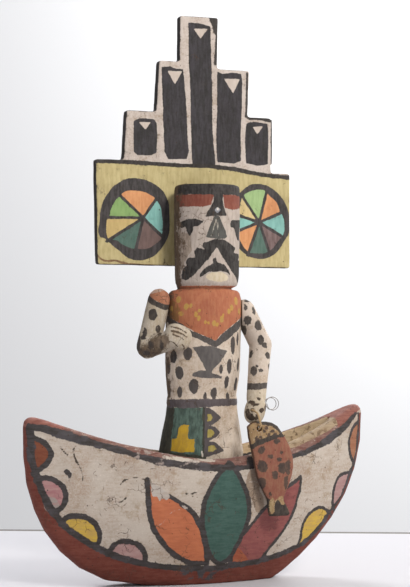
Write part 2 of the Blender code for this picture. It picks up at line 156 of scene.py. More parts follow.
def painted_wood(name, ground, coats, brush, cracks=0.5, specks=0.35, ragged=1.0):
    """Soft carved wood with a chalky ground and brushed mineral paint, rubbed by handling.

    What the eye gets: a matte, slightly chalky surface; edges that a soft brush left uneven;
    paint that is thin in streaks and gone on the corners; brown hairline cracks, dark specks
    and grime in the ground; painted shade with grime in the grooves. Ground is its two colours.
    A coat is the attribute that holds it, its two colours and how worn it is from 0 to 1, in the
    order they were painted. Brush is how long a streak is along X, Y and Z, in millimetres.
    Ragged is how uneven the edges are.
    """
    made, tree, shader = new_material(name)
    place = add(tree, "TexCoord").outputs["Object"]
    stretched = add(tree, "Mapping", {"Vector": place, "Scale": [1.0 / size for size in brush]})
    values = {"edge": add(tree, "Attribute", attribute_name="edge").outputs["Fac"]}

    # Soft noises: where, the size of the patches in millimetres, detail and roughness
    for cloud, where, size, detail, rough in (
            ("streak", stretched, 1.0, 3.0, 0.6), ("veil", place, 34.0, 3.0, 0.55),
            ("blotch", place, 24.0, 4.0, 0.55), ("group", place, 15.0, 3.0, 0.55),
            ("damp", place, 13.0, 5.0, 0.6), ("mottle", place, 6.5, 3.0, 0.55),
            ("bend", place, 4.0, 3.0, 0.55), ("rough", place, 1.7, 3.0, 0.65),
            ("grit", place, 1.3, 2.0, 0.7)):
        values[cloud] = add(tree, "TexNoise", {"Vector": where, "Scale": 1000.0 / size,
                                               "Detail": detail, "Roughness": rough})

    # Cells: their bent borders are the cracks, and a dot in some of them is a speck
    bent = add(tree, "VectorMath", {0: values["bend"].outputs["Color"], 1: (0.004, 0.004, 0.004),
                                    2: place}, operation="MULTIPLY_ADD")
    values["border"] = add(tree, "TexVoronoi", {"Vector": bent, "Scale": 1000.0 / 8.5},
                           feature="DISTANCE_TO_EDGE")
    dots = add(tree, "TexVoronoi", {"Vector": place, "Scale": 1000.0 / 3.6})
    values["chance"] = add(tree, "SeparateColor", {"Color": dots.outputs["Color"]})

    # Weighted sums: where they start, and the weight of each part
    for total, start, parts in (
            ("tone", 0.0, {"blotch": 0.6, "streak": 0.4}),
            ("wet", 0.0, {"damp": 1.0, "rough": 0.25}),
            ("spatter", -0.25, {"grit": 1.0, "blotch": 0.5}),
            ("wobble", -1.95 * ragged, {"mottle": 2.4 * ragged, "rough": 1.5 * ragged}),
            ("rub", 0.0, {"streak": 0.55, "rough": 0.45, "edge": 0.10}),
            ("brushing", 0.0, {"streak": 0.7, "mottle": 0.3}),
            ("relief", 0.0, {"rough": 0.24, "streak": 0.12, "mottle": 0.32})):
        values[total] = start
        for part, weight in parts.items():
            values[total] = add(tree, "Math", {0: values[part], 1: weight, 2: values[total]},
                                operation="MULTIPLY_ADD")

    # Smooth steps: what they read, from and to which value, and what they give at each
    for step, source, low, high, first, last in (
            ("two_tone", "tone", 0.40, 0.62, 0.0, 1.0),
            ("stained", "wet", 0.66, 0.86, 0.0, 0.55),
            ("spattered", "spatter", 0.56, 0.68, 0.0, 0.42),
            ("chalky", "grit", 0.30, 0.40, 0.35, 0.0),
            ("brushed", "brushing", 0.36, 0.64, 0.0, 1.0),
            ("hairline", "border", 0.012, 0.035, 1.0, 0.0),
            ("cracked", "group", 0.66 - 0.2 * cracks, 0.72 - 0.2 * cracks, 0.0, 1.0),
            ("dot", "chance", 1.0 - specks, 1.0, 0.0, 0.17),
            # darker where the surface bends into a groove: painted shade, with grime
            ("grimy", "edge", -0.45, -0.05, 0.55, 0.0),
            ("browned", "veil", 0.45, 0.75, 0.0, 0.16),
            ("matte", "rough", 0.3, 0.7, 0.70, 0.92)):
        values[step] = add(tree, "MapRange", {"Value": values[source], "From Min": low,
                                              "From Max": high, "To Min": first, "To Max": last},
                           interpolation_type="SMOOTHSTEP")

    # Ground: two tones, brown stains, spatter and pale chalk
    shown = add(tree, "Mix", {"Factor": values["two_tone"], 6: colour(ground[0]),
                              7: colour(ground[1])}, data_type="RGBA")
    for share, code in (("stained", "#8d7350"), ("spattered", "#9c7f69"), ("chalky", "#e4dad0")):
        shown = add(tree, "Mix", {"Factor": values[share], 6: shown, 7: colour(code)},
                    data_type="RGBA")

    # Paint, coat by coat, with hand-brushed edges, worn thin where it was rubbed
    covered = 0.0
    for attribute, main, second, wear in coats:
        depth = add(tree, "Attribute", attribute_name=attribute).outputs["Fac"]
        reach = add(tree, "Math", {0: depth, 1: values["wobble"]}, operation="ADD")
        stroke = add(tree, "MapRange", {"Value": reach, "From Min": -0.22, "From Max": 0.28},
                     interpolation_type="SMOOTHSTEP")
        left = add(tree, "MapRange", {"Value": values["rub"], "From Min": 0.74 - 0.28 * wear,
                                      "From Max": 0.84 - 0.28 * wear, "To Min": 1.0,
                                      "To Max": 0.15}, interpolation_type="SMOOTHSTEP")
        mask = add(tree, "Math", {0: stroke, 1: left}, operation="MULTIPLY")
        paint = add(tree, "Mix", {"Factor": values["brushed"], 6: colour(main),
                                  7: colour(second)}, data_type="RGBA")
        shown = add(tree, "Mix", {"Factor": mask, 6: shown, 7: paint}, data_type="RGBA")
        covered = add(tree, "Math", {0: covered, 1: mask}, operation="MAXIMUM")

    # Age: cracks and specks through everything, a thin brown veil, and painted shade
    # with grime in the grooves
    crack = add(tree, "Math", {0: values["hairline"], 1: values["cracked"]}, operation="MULTIPLY")
    speck = add(tree, "Math", {0: dots, 1: values["dot"]}, operation="LESS_THAN")
    for mark, share, code, way in ((crack, 0.62, "#4a3a2e", "MIX"), (speck, 0.75, "#3c2f27", "MIX"),
                                   (values["grimy"], 1.0, "#3a2d24", "MIX"),
                                   (values["browned"], 1.0, "#8a7460", "MULTIPLY")):
        amount = add(tree, "Math", {0: mark, 1: share}, operation="MULTIPLY")
        shown = add(tree, "Mix", {"Factor": amount, 6: shown, 7: colour(code)},
                    data_type="RGBA", blend_type=way)

    relief = values["relief"]
    for part, weight in ((covered, 0.07), (crack, -0.30)):
        relief = add(tree, "Math", {0: part, 1: weight, 2: relief}, operation="MULTIPLY_ADD")
    bump = add(tree, "Bump", {"Height": relief, "Strength": 0.55, "Distance": 0.001})
    plug(tree, shader, {"Base Color": shown, "Roughness": values["matte"],
                        "Specular IOR Level": 0.35, "Normal": bump})
    return made


def tan_cotton_line():
    """Cotton line of three twisted plies, tan and a little greasy: matte, darker in the grooves."""
    made, tree, shader = new_material("tan_cotton_line")
    place = add(tree, "TexCoord").outputs["Object"]
    fibre = add(tree, "TexNoise", {"Vector": place, "Scale": 1000.0 / 0.35, "Detail": 2.0})
    soiled = add(tree, "TexNoise", {"Vector": place, "Scale": 1000.0 / 6.0, "Detail": 3.0})
    shade = add(tree, "Mix", {"Factor": fibre, 6: colour("#a98a62"), 7: colour("#dcc39b")},
                data_type="RGBA")
    shown = add(tree, "Mix", {"Factor": soiled, 6: shade, 7: colour("#a58760")}, data_type="RGBA")
    bump = add(tree, "Bump", {"Height": fibre, "Strength": 0.5, "Distance": 0.0002})
    plug(tree, shader, {"Base Color": shown, "Roughness": 0.9, "Normal": bump})
    return made


def dull_iron_wire():
    """Thin soft iron wire, drawn and then dulled by air: grey, half rough, with brown spots."""
    made, tree, shader = new_material("dull_iron_wire")
    place = add(tree, "TexCoord").outputs["Object"]
    spots = add(tree, "TexNoise", {"Vector": place, "Scale": 1000.0 / 1.5, "Detail": 3.0})
    shown = add(tree, "Mix", {"Factor": spots, 6: colour("#b4b2b0"), 7: colour("#7d746c")},
                data_type="RGBA")
    rough = add(tree, "MapRange", {"Value": spots, "To Min": 0.3, "To Max": 0.6})
    plug(tree, shader, {"Base Color": shown, "Metallic": 0.9, "Roughness": rough})
    return made


def studio_paper(name, code):
    """Matte seamless paper. Its faint tooth is drawn coarser than real, so that it shows."""
    made, tree, shader = new_material(name)
    place = add(tree, "TexCoord").outputs["Object"]
    tooth = add(tree, "TexNoise", {"Vector": place, "Scale": 1000.0 / 2.5, "Detail": 2.0})
    bump = add(tree, "Bump", {"Height": tooth, "Strength": 0.05, "Distance": 0.001})
    plug(tree, shader, {"Base Color": colour(code), "Roughness": 0.85, "Normal": bump})
    return made


# Drawing on a flat sheet of millimetres


def curve(points, closed=False, steps=6):
    """Points on the smooth curve through the given ones, as a loaded brush takes them."""
    given = np.array(points, float)
    if closed:
        given = np.vstack([given[-1:], given, given[:2]])
    else:
        given = np.vstack([2 * given[0] - given[1], given, 2 * given[-1] - given[-2]])
    a, b, c, d = given[:-3, None], given[1:-2, None], given[2:-1, None], given[3:, None]
    t = np.linspace(0, 1, steps, endpoint=False)[None, :, None]
    line = 0.5 * (2 * b + (c - a) * t + (2 * a - 5 * b + 4 * c - d) * t ** 2
                  + (3 * b - a - 3 * c + d) * t ** 3)
    line = line.reshape(-1, given.shape[1])
    return line if closed else np.vstack([line, given[-2]])


def close_to(sheet, points, reach):
    return np.all((sheet > points.min(0) - reach) & (sheet < points.max(0) + reach), axis=1)


def to_line(sheet, starts, ends):
    """Distance of each point of a sheet to the nearest of some straight pieces."""
    nearest = np.full(len(sheet), np.inf)
    for a, b in zip(starts, ends):
        along = b - a
        share = np.clip((sheet - a) @ along / max(along @ along, 1e-9), 0, 1)
        apart = sheet - (a + share[:, None] * along)
        nearest = np.minimum(nearest, np.hypot(apart[:, 0], apart[:, 1]))
    return nearest


def inside(sheet, outline, smooth=True):
    """How far each point of a sheet lies inside an outline."""
    outline = curve(outline, closed=True) if smooth else np.array(outline, float)
    field = np.full(len(sheet), FAR)
    at = close_to(sheet, outline, -FAR)
    points, ends = sheet[at], np.roll(outline, -1, axis=0)
    odd = np.zeros(len(points), bool)
    for (ax, ay), (bx, by) in zip(outline, ends):
        if ay != by:
            crosses = (ay > points[:, 1]) != (by > points[:, 1])
            odd ^= crosses & (points[:, 0] < ax + (bx - ax) * (points[:, 1] - ay) / (by - ay))
    away = to_line(points, outline, ends)
    field[at] = np.maximum(np.where(odd, away, -away), FAR)
    return field


def along(sheet, line, width, smooth=True):
    """How far each point of a sheet lies inside a brush stroke of a width."""
    line = curve(line) if smooth else np.array(line, float)
    field = np.full(len(sheet), FAR)
    at = close_to(sheet, line, width / 2 - FAR)
    field[at] = np.maximum(width / 2 - to_line(sheet[at], line[:-1], line[1:]), FAR)
    return field


def oval(sheet, x, z, wide, high, turn=0.0):
    """How far each point of a sheet lies inside an oval, which may be turned in degrees."""
    cos, sin = math.cos(math.radians(turn)), math.sin(math.radians(turn))
    across, up = sheet[:, 0] - x, sheet[:, 1] - z
    scaled = np.hypot(
        (across * cos + up * sin) / (wide / 2), (up * cos - across * sin) / (high / 2))
    return np.maximum((1 - scaled) * min(wide, high) / 2, FAR)


def ball(points, centre, sizes):
    """How far each point in space lies inside an oval blot on a round surface."""
    scaled = np.linalg.norm((points - np.array(centre)) / (np.array(sizes) / 2), axis=1)
    return np.maximum((1 - scaled) * min(sizes) / 2, FAR)


def patchy(points, size, share):
    """A field whose patches are about a size and cover about a share of the surface, 0 to 1."""
    cloud = np.array([noise.noise(Vector(p) / size) for p in points])
    return np.clip((cloud - np.quantile(cloud, 1 - share)) * size, FAR, 3)


def most(*fields):
    return np.maximum.reduce(fields)


def least(*fields):
    return np.minimum.reduce(fields)


def only(where, field):
    return np.where(where, field, FAR)


# Carved pieces


def carved(node, grain, knife):
    """A finer, welded copy of a CAD node, with the shallow uneven cuts that a knife leaves.

    Grain is the size of its faces and knife the depth of the cuts, in millimetres.
    """
    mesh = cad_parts[node].data.copy()
    bm = bmesh.new()
    bm.from_mesh(mesh)
    bmesh.ops.remove_doubles(bm, verts=bm.verts, dist=1e-6)
    bm.to_mesh(mesh)
    bm.free()
    piece = bpy.data.objects.new(node + "_carved", mesh)
    bpy.context.scene.collection.objects.link(piece)
    even = piece.modifiers.new("even", "REMESH")
    even.mode = "VOXEL"
    even.voxel_size = grain * MM
    soft = piece.modifiers.new("soft", "SMOOTH")
    soft.factor = 0.5
    soft.iterations = 3
    dressed = piece.evaluated_get(bpy.context.evaluated_depsgraph_get())
    finer = bpy.data.meshes.new_from_object(dressed)
    piece.modifiers.clear()
    piece.data = finer
    bpy.data.meshes.remove(mesh)

    places, normals = read(finer, "co"), read(finer, "normal")
    cuts = np.array([noise.noise(Vector(p) / 13.0) * 0.75 + noise.noise(Vector(p) / 4.5) * 0.25
                     for p in places])
    places -= normals * (knife * np.clip(0.5 + cuts, 0, 1))[:, None]
    finer.vertices.foreach_set("co", (places * MM).ravel())
    finer.update()
    finer.materials.clear()
    finer.shade_smooth()
    keep(piece, {"edge": bends(finer, places, normals)})
    return piece


def read(mesh, what):
    """Places in millimetres or normals of a mesh's vertices."""
    values = np.empty(len(mesh.vertices) * 3)
    if what == "co":
        mesh.vertices.foreach_get("co", values)
        return values.reshape(-1, 3) / MM
    mesh.vertex_normals.foreach_get("vector", values)
    return values.reshape(-1, 3)


def bends(mesh, places, normals):
    """How sharply the surface bends at each vertex: 1 on a corner, 0 flat, -1 in a groove."""
    pairs = np.empty(len(mesh.edges) * 2, int)
    mesh.edges.foreach_get("vertices", pairs)
    one, two = pairs.reshape(-1, 2).T
    count = np.maximum(np.bincount(np.concatenate([one, two]), minlength=len(places)), 1)

    def spread(values):
        total = np.zeros_like(values)
        np.add.at(total, one, values[two])
        np.add.at(total, two, values[one])
        return total / (count[:, None] if values.ndim > 1 else count)

    bend = -np.sum((spread(places) - places) * normals, axis=1) * 4.0
    for _ in range(3):
        bend = (bend + spread(bend)) / 2
    return np.clip(bend, -1, 1)


def keep(piece, coats):
    """Store each colour's field as an attribute of the piece."""
    for name, field in coats.items():
        made = piece.data.attributes.new(name, "FLOAT", "POINT")
        made.data.foreach_set("value", field.astype(np.float32))


def dress(piece, node, material):
    """Give a piece its material and its place in the model, and hide the CAD node that it stands
    for.
    """
    piece.data.materials.append(material)
    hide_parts(node)
    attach(piece, "root")


def make_carved(node, draw, material, grain, knife, reshape=None):
    """Carve a piece, draw its colours on it and dress it."""
    piece = carved(node, grain, knife)
    if reshape:
        reshape(piece)
    keep(piece, draw(read(piece.data, "co")))
    dress(piece, node, material)


# Boat


def hull_width(x, z):
    """Half width of the hull's inside at a place, as the part's source cuts it."""
    stem = np.where(x < 0, stem_reach(z, *LEFT_STEM), stem_reach(z, *RIGHT_STEM))
    low = FLAT_BOTTOM_WIDTH / BOAT_BEAM
    widest = BOAT_BEAM / 2 * (1 - (1 - low) * (1 - np.clip(z / SHEER_HEIGHT, 0, 1)) ** 2.5)
    tip = np.minimum(TIP_WIDTH / 2, widest)
    outer = (widest - tip) * (1 - np.clip(x / stem, -1, 1) ** 2) + tip
    share = np.clip(np.abs(x) / (stem - END_WALL), 0, 1)
    return (outer - WALL) * np.sqrt(1 - share ** 6) - 60.0 * np.clip(
        np.abs(x) / (stem - END_WALL) - 1, 0, 1)


def stem_reach(z, flat, top, power, root):
    """Half length of the hull at a height, as in the part's source."""
    share = np.clip(z / (SHEER_HEIGHT * top), 0, 1)
    return flat + (BOAT_LENGTH / 2 - flat) * (1 - (1 - share) ** power) ** (1 / root)


def paint_boat(points):
    """The boat's colours. Its near side is drawn from the photograph, its far side is plainer."""
    x, y, z = points.T
    side = np.stack([x, z], axis=1)
    near, far = y < 0, y >= 0
    hollow = least(hull_width(x, z) - np.abs(y) + 0.9, z - 14.0)

    band_top = [
        (-139, 128.6), (-129.1, 127.2), (-120.3, 125.2), (-111.5, 122.6), (-102.9, 119.3),
        (-94.1, 116.3), (-85.2, 113.7), (-76.2, 111.1), (-67.3, 108), (-58.2, 104.7), (-49, 103.1),
        (-39.6, 100.8), (-25.3, 98.5), (-11.2, 97.2), (-1.3, 96), (8.8, 95.2), (24.2, 94.2),
        (46, 96.5), (68.2, 101.4), (79.9, 104.3), (89.5, 107.7), (98.1, 111.7), (110.7, 118.5),
        (122.6, 124.8), (129.7, 130.4), (133.2, 132.1)]
    band_low = [
        (-139, 123.6), (-129.3, 121.6), (-120.7, 118.1), (-112, 115.3), (-103.2, 112.5),
        (-94.4, 110.8), (-85.6, 108.7), (-76.6, 105.9), (-67.5, 103.9), (-58.4, 100.5),
        (-49.1, 97.1), (-39.7, 95.6), (-25.4, 92.9), (-11.4, 91.4), (-1.5, 90.2), (8.6, 90.8),
        (24.2, 90.4), (46, 92.6), (68.2, 98), (80, 99.4), (92.1, 103.7), (104.5, 107.9),
        (114.7, 113.3), (123.9, 119.8), (130.6, 126.4), (135.7, 130.7)]
    line = [
        (-138.5, 126), (-138.1, 117.9), (-137.7, 106.8), (-137.2, 99.4), (-134.6, 91), (-132, 82.7),
        (-130.2, 77.1), (-127.4, 71.5), (-124.3, 65.8), (-120.2, 59.3), (-115.1, 52.6),
        (-110.5, 47.8), (-104.1, 43.1), (-96.6, 37.7), (-89.2, 33.3), (-79.9, 28.8), (-70.4, 24.7),
        (-59, 21), (-49.4, 18.8), (-39.7, 17), (-25.1, 14.9), (-9.8, 14), (-0.6, 13.2), (9.6, 13.6),
        (20, 14.5), (30.6, 15.2), (42.7, 16.3), (52.7, 18), (64, 20.5), (75.5, 24.1), (83.7, 26.9),
        (92.6, 33.2), (101, 40.8), (106.2, 47.8), (111.8, 54.2), (119.7, 63.3), (124.9, 73.6),
        (128.8, 83.4), (132.1, 91.4), (134.7, 102.2), (136, 118), (136, 131)]
    rounds = {
        "rust": [[(-138.5, 119.5), (-136.5, 118), (-130.6, 115), (-125.8, 110.4), (-123.9, 104.6),
                  (-126.3, 99), (-130.9, 94.4), (-136, 90)]],
        "amber": [[(136.2, 124.7), (130, 119.5), (126.5, 112.7), (125.5, 104.8), (127.3, 97.7),
                   (131.3, 91.4), (137.8, 86), (141, 100), (141, 120)]],
        "pink": [[(-134, 85), (-130.4, 86.6), (-124.8, 86.8), (-119.2, 84), (-114.8, 79.5),
                  (-113.1, 73.4), (-114.4, 66.8), (-118.1, 62.1), (-121.2, 58.7), (-128, 70)]],
        "dusty": [[(-80.2, 27.5), (-78.2, 30.8), (-76.3, 34.6), (-72.5, 37.2), (-66.2, 37.7),
                   (-59.6, 35.6), (-54.6, 31.3), (-51.7, 26.3), (-51.7, 19)],
                  [(136, 84), (131.1, 82.4), (124.1, 82.9), (116.1, 80.5), (112.1, 73.7),
                   (110.9, 66.8), (111.3, 58.6), (113.8, 53.3), (118, 52.5), (126, 64)]],
        "yellow": [[(-115.8, 51.4), (-114.3, 54), (-111, 56.9), (-104.9, 58.1), (-97.9, 56.9),
                    (-92.3, 52.6), (-88.4, 46.8), (-87.1, 42), (-87.8, 37.2), (-90, 33)],
                   [(112, 48.5), (109.8, 50.5), (104.6, 54.1), (97.7, 56.3), (90.3, 53.9),
                    (84.2, 48.3), (81.5, 41), (81.7, 33.8), (82, 26.5), (100, 38)]],
    }
    orange = [
        (-53.7, 85.1), (-53, 74.8), (-52.1, 65.3), (-50.5, 56.8), (-47.7, 48.1), (-43.4, 41.2),
        (-38, 34.3), (-30.6, 27.1), (-22.2, 21.9), (-13.9, 18.5), (-1.7, 17.5), (-2.5, 21.9),
        (-4.7, 31), (-7.6, 40), (-10.8, 47.9), (-15.2, 55.7), (-20.5, 61.7), (-25.9, 65.6),
        (-31.7, 69.6), (-37.5, 72.5), (-43.2, 74.6), (-48.9, 78.4)]
    green = [
        (11.8, 97), (8.6, 93.3), (2.6, 87.4), (-2.3, 80), (-6.1, 72.6), (-8.8, 64.1), (-9.3, 55.5),
        (-8.2, 45.8), (-5.2, 35.9), (-1.6, 26.9), (2.8, 20.6), (7.9, 16.8), (12, 18.1),
        (16.7, 20.8), (20, 27.6), (23.7, 35.4), (27.1, 43.1), (29.5, 51.7), (29.4, 60.5),
        (27.9, 69.2), (24.4, 78), (20.1, 85.8), (15.8, 92.6)]
    crimson = [
        (76.3, 83.1), (72.3, 79.9), (66.5, 76.8), (62, 74.1), (52, 66.5), (41.6, 57.8),
        (35.6, 50.4), (29.7, 43.9), (24.1, 36.3), (19.8, 28.6), (18.7, 21.7), (18.3, 16.6),
        (32, 16), (44.7, 17.7), (47.5, 20.5), (52.1, 27.3), (57.9, 33.9), (63.9, 41.5),
        (68.7, 50.1), (72.5, 58.7), (73.7, 65.6), (75.9, 73.3)]

    coats = {name: most(*(inside(side, shape) for shape in shapes))
             for name, shapes in rounds.items()}
    below = line + [(150, 131), (150, -12), (-150, -12), (-150, 126)]
    coats["red"] = most(inside(side, below, smooth=False),
                        only(z < 12, 14.0 - z))
    for name in rounds:
        coats[name] = least(coats[name], np.maximum(-coats["red"], FAR))
    gunwale = band_low + [(150, 138), (150, 170), (-150, 170), (-150, 126)]
    rim = inside(side, gunwale, smooth=False) - 1.5
    pale = most(oval(side, -26, 99.6, 30, 4.0, -9), oval(side, -6, 99, 16, 2.4, -4))
    coats["rim_red"] = least(rim, np.maximum(-pale, FAR), np.maximum(1.2 - hollow, FAR))
    coats["orange"] = only(near, inside(side, orange))
    coats["green"] = only(near, inside(side, green))
    coats["crimson"] = only(near, inside(side, crimson))
    coats["ember"] = only(near, least(inside(side, crimson), oval(side, 18, 19, 44, 22, -36)))

    outlines = [along(side, shape, 4.2 if shape[0][0] < 0 else 2.8)
                for shapes in rounds.values() for shape in shapes]
    petals = [along(side, orange[:11], 4.2), along(side, orange[10:18], 4.2),
              along(side, orange[17:20], 3.0), along(side, green + green[:1], 3.8),
              along(side, crimson[:12], 2.8), along(side, crimson[12:] + crimson[:1], 2.8)]
    band = inside(side, band_top + band_low[::-1], smooth=False)
    line_parts = most(along(side, line[:30], 5.0), along(side, line[29:34], 4.0),
                      along(side, line[33:], 2.4))
    tear = inside(side, [
        (-114.9, 92.3), (-112.3, 93.8), (-109.3, 91.2), (-109.5, 87.9), (-110.7, 84),
        (-111.9, 88.5)])
    coats["black"] = most(band, line_parts, *outlines, only(near, most(*petals)),
                          only(near, tear), only(near, oval(side, 29.5, 96, 7, 9)))
    smear = oval(side, -4, 10, 30, 12)
    worn = patchy(points, 12.0, 0.26) * 0.14
    coats["lilac"] = most(least(most(band, line_parts) + 0.4, worn),
                          only(near, least(smear, patchy(points, 6.0, 0.6)) * 0.35))
    coats["rubbed"] = least(most(band, rim), patchy(points, 7.0, 0.24) * 0.3,
                            np.where((hollow > -2) | (x > -12) | (x < -68) | (y > 0), FAR, 3.0))
    hairs = [
        [
            (-105.4, 112), (-107.9, 109.3), (-107.6, 105.1), (-105.8, 99.5), (-102.3, 93),
            (-101.2, 88.4), (-101.5, 85.1)],
        [(-83.4, 73.8), (-80.7, 71.4), (-76.1, 69), (-72.5, 68.7), (-69.4, 71.3)],
        [(-116.8, 109.3), (-113.7, 106), (-111.5, 104.2)],
        [(-23.2, 73.6), (-18.4, 73.9), (-12.9, 75.2)],
        [(-73.7, 81.6), (-71.5, 84.4), (-67.4, 86.2), (-62, 86.9), (-57.4, 86.1), (-54.1, 84.6)]]
    coats["hair"] = only(near, most(*(along(side, hair, 1.0) for hair in hairs)))
    coats["chip"] = only(near, most(
        inside(side, [
            (-50.6, 82), (-46.2, 80.6), (-40.5, 77.3), (-36.6, 72.6), (-38.3, 69.4), (-41.6, 70.6),
            (-44, 68.6), (-46, 72), (-49.4, 72.4)]),
        inside(side, [(-27, 65.4), (-22.6, 64), (-20.8, 61.8), (-24, 61.4)]) - 0.4,
        along(side, [
            (-44.9, 49), (-40.4, 51.8), (-37.8, 55.5), (-33.3, 60.1), (-27.6, 61.9)], 0.5)))
    coats["faded"] = only(near, most(
        oval(side, -122.5, 66, 11, 14, 30), oval(side, 131, 62, 6, 10)))
    bare = SHEER_HEIGHT + 41.0 * np.clip(x / (BOAT_LENGTH / 2), 0, 1) ** 1.9 - 3.6
    coats["inner"] = most(hollow, only(near & (x > 30) & (x < 118), least(z - bare, 118 - x)))
    # The far wall's inside gets a lighter copy of the inside's colour: painted light that offsets
    # the shade falling on it
    coats["inner_far"] = only(far & (x > 0), coats["inner"])
    coats["fleck"] = least(coats["inner"], patchy(points, 3.0, 0.16) * 0.4)
    # Brown ovals on the hull behind the fish: partly a painted shadow of the fish, partly stain
    coats["stain"] = only(near, most(oval(side, 32, 80, 12, 22), oval(side, 37, 66, 10, 22, 20)))
    coats["tip"] = least(np.abs(x) - 113.5, rim)
    return coats


def make_boat():
    coats = [
        ("red", "#683227", "#774034", 0.26), ("rim_red", "#6c463d", "#85655c", 0.6),
        # The lighter of the two inside colours is painted light on the shaded far wall
        ("inner", "#a7947a", "#957f66", 0.1), ("inner_far", "#cdb798", "#b7a081", 0.15),
        ("fleck", "#6f5b47", "#8b745a", 0.6), ("tip", "#7c4940", "#926155", 0.35),
        ("rust", "#6f3b29", "#7c4832", 0.2), ("amber", "#956249", "#9c6f55", 0.25),
        ("pink", "#a16f71", "#ad8884", 0.3), ("dusty", "#a27d7a", "#ac8e89", 0.3),
        ("yellow", "#c9a845", "#b89854", 0.28), ("orange", "#bc704d", "#af6546", 0.15),
        ("green", "#38544c", "#456058", 0.2), ("crimson", "#814847", "#8e554f", 0.24),
        # The brownish coat behind the fish is partly painted shadow of the fish and partly stain
        ("ember", "#a35d41", "#964e38", 0.6), ("stain", "#9e8b7a", "#8b7765", 0.75),
        ("faded", "#a0948d", "#95857e", 0.85), ("black", "#37322f", "#474243", 0.36),
        ("lilac", "#433f41", "#504b4d", 0.5), ("rubbed", "#a4968e", "#8e8078", 0.6),
        ("hair", "#50443a", "#413932", 0.4), ("chip", "#b7afa7", "#ac9f95", 0.35)]
    wood = painted_wood("gessoed_and_painted_cottonwood_boat", ("#bfb4a8", "#b1a294"), coats,
                        brush=(9.0, 9.0, 1.6), cracks=0.55)
    make_carved("boat", paint_boat, wood, grain=1.27, knife=0.35)


# Doll


def unroll(points):
    """Points of the doll on a flat sheet: round it from the front, and up, in millimetres."""
    x, y, z = points.T
    middle = DOLL_FOOT_X + (z - FLOOR) * DOLL_LEAN
    return np.stack([np.degrees(np.arctan2(x - middle, -y)) * ARC, z], axis=1)


def turned(points):
    """A drawing in degrees round the doll, in millimetres."""
    return [(degrees * ARC, z) for degrees, z in points]


def square_head(piece):
    """The head's sides stay straight almost to its lower edge, a little fuller than the solid."""
    x, y, z = read(piece.data, "co").T
    middle = DOLL_FOOT_X + (z - FLOOR) * DOLL_LEAN
    grow = np.interp(
        z - HEAD_LOW, [-1.0, 0, 1, 3, 9, 20, 36, 74, 78.2, 80.3, 81.2],
        [1.0, 1.05, 1.06, 1.05, 1.02, 1.0, 0.99, 1.0, 1.012, 1.03, 1.04])
    aside = np.interp(z - HEAD_LOW, [-1.0, 1.0, 12.0, 74.0], [0, 1.9, 1.9, 0.6])
    back = np.maximum(y, 21.0)
    moved = np.stack([middle + (x - middle) * grow + aside, np.minimum(y * grow, back), z], axis=1)
    piece.data.vertices.foreach_set("co", (moved * MM).ravel())
    piece.data.update()


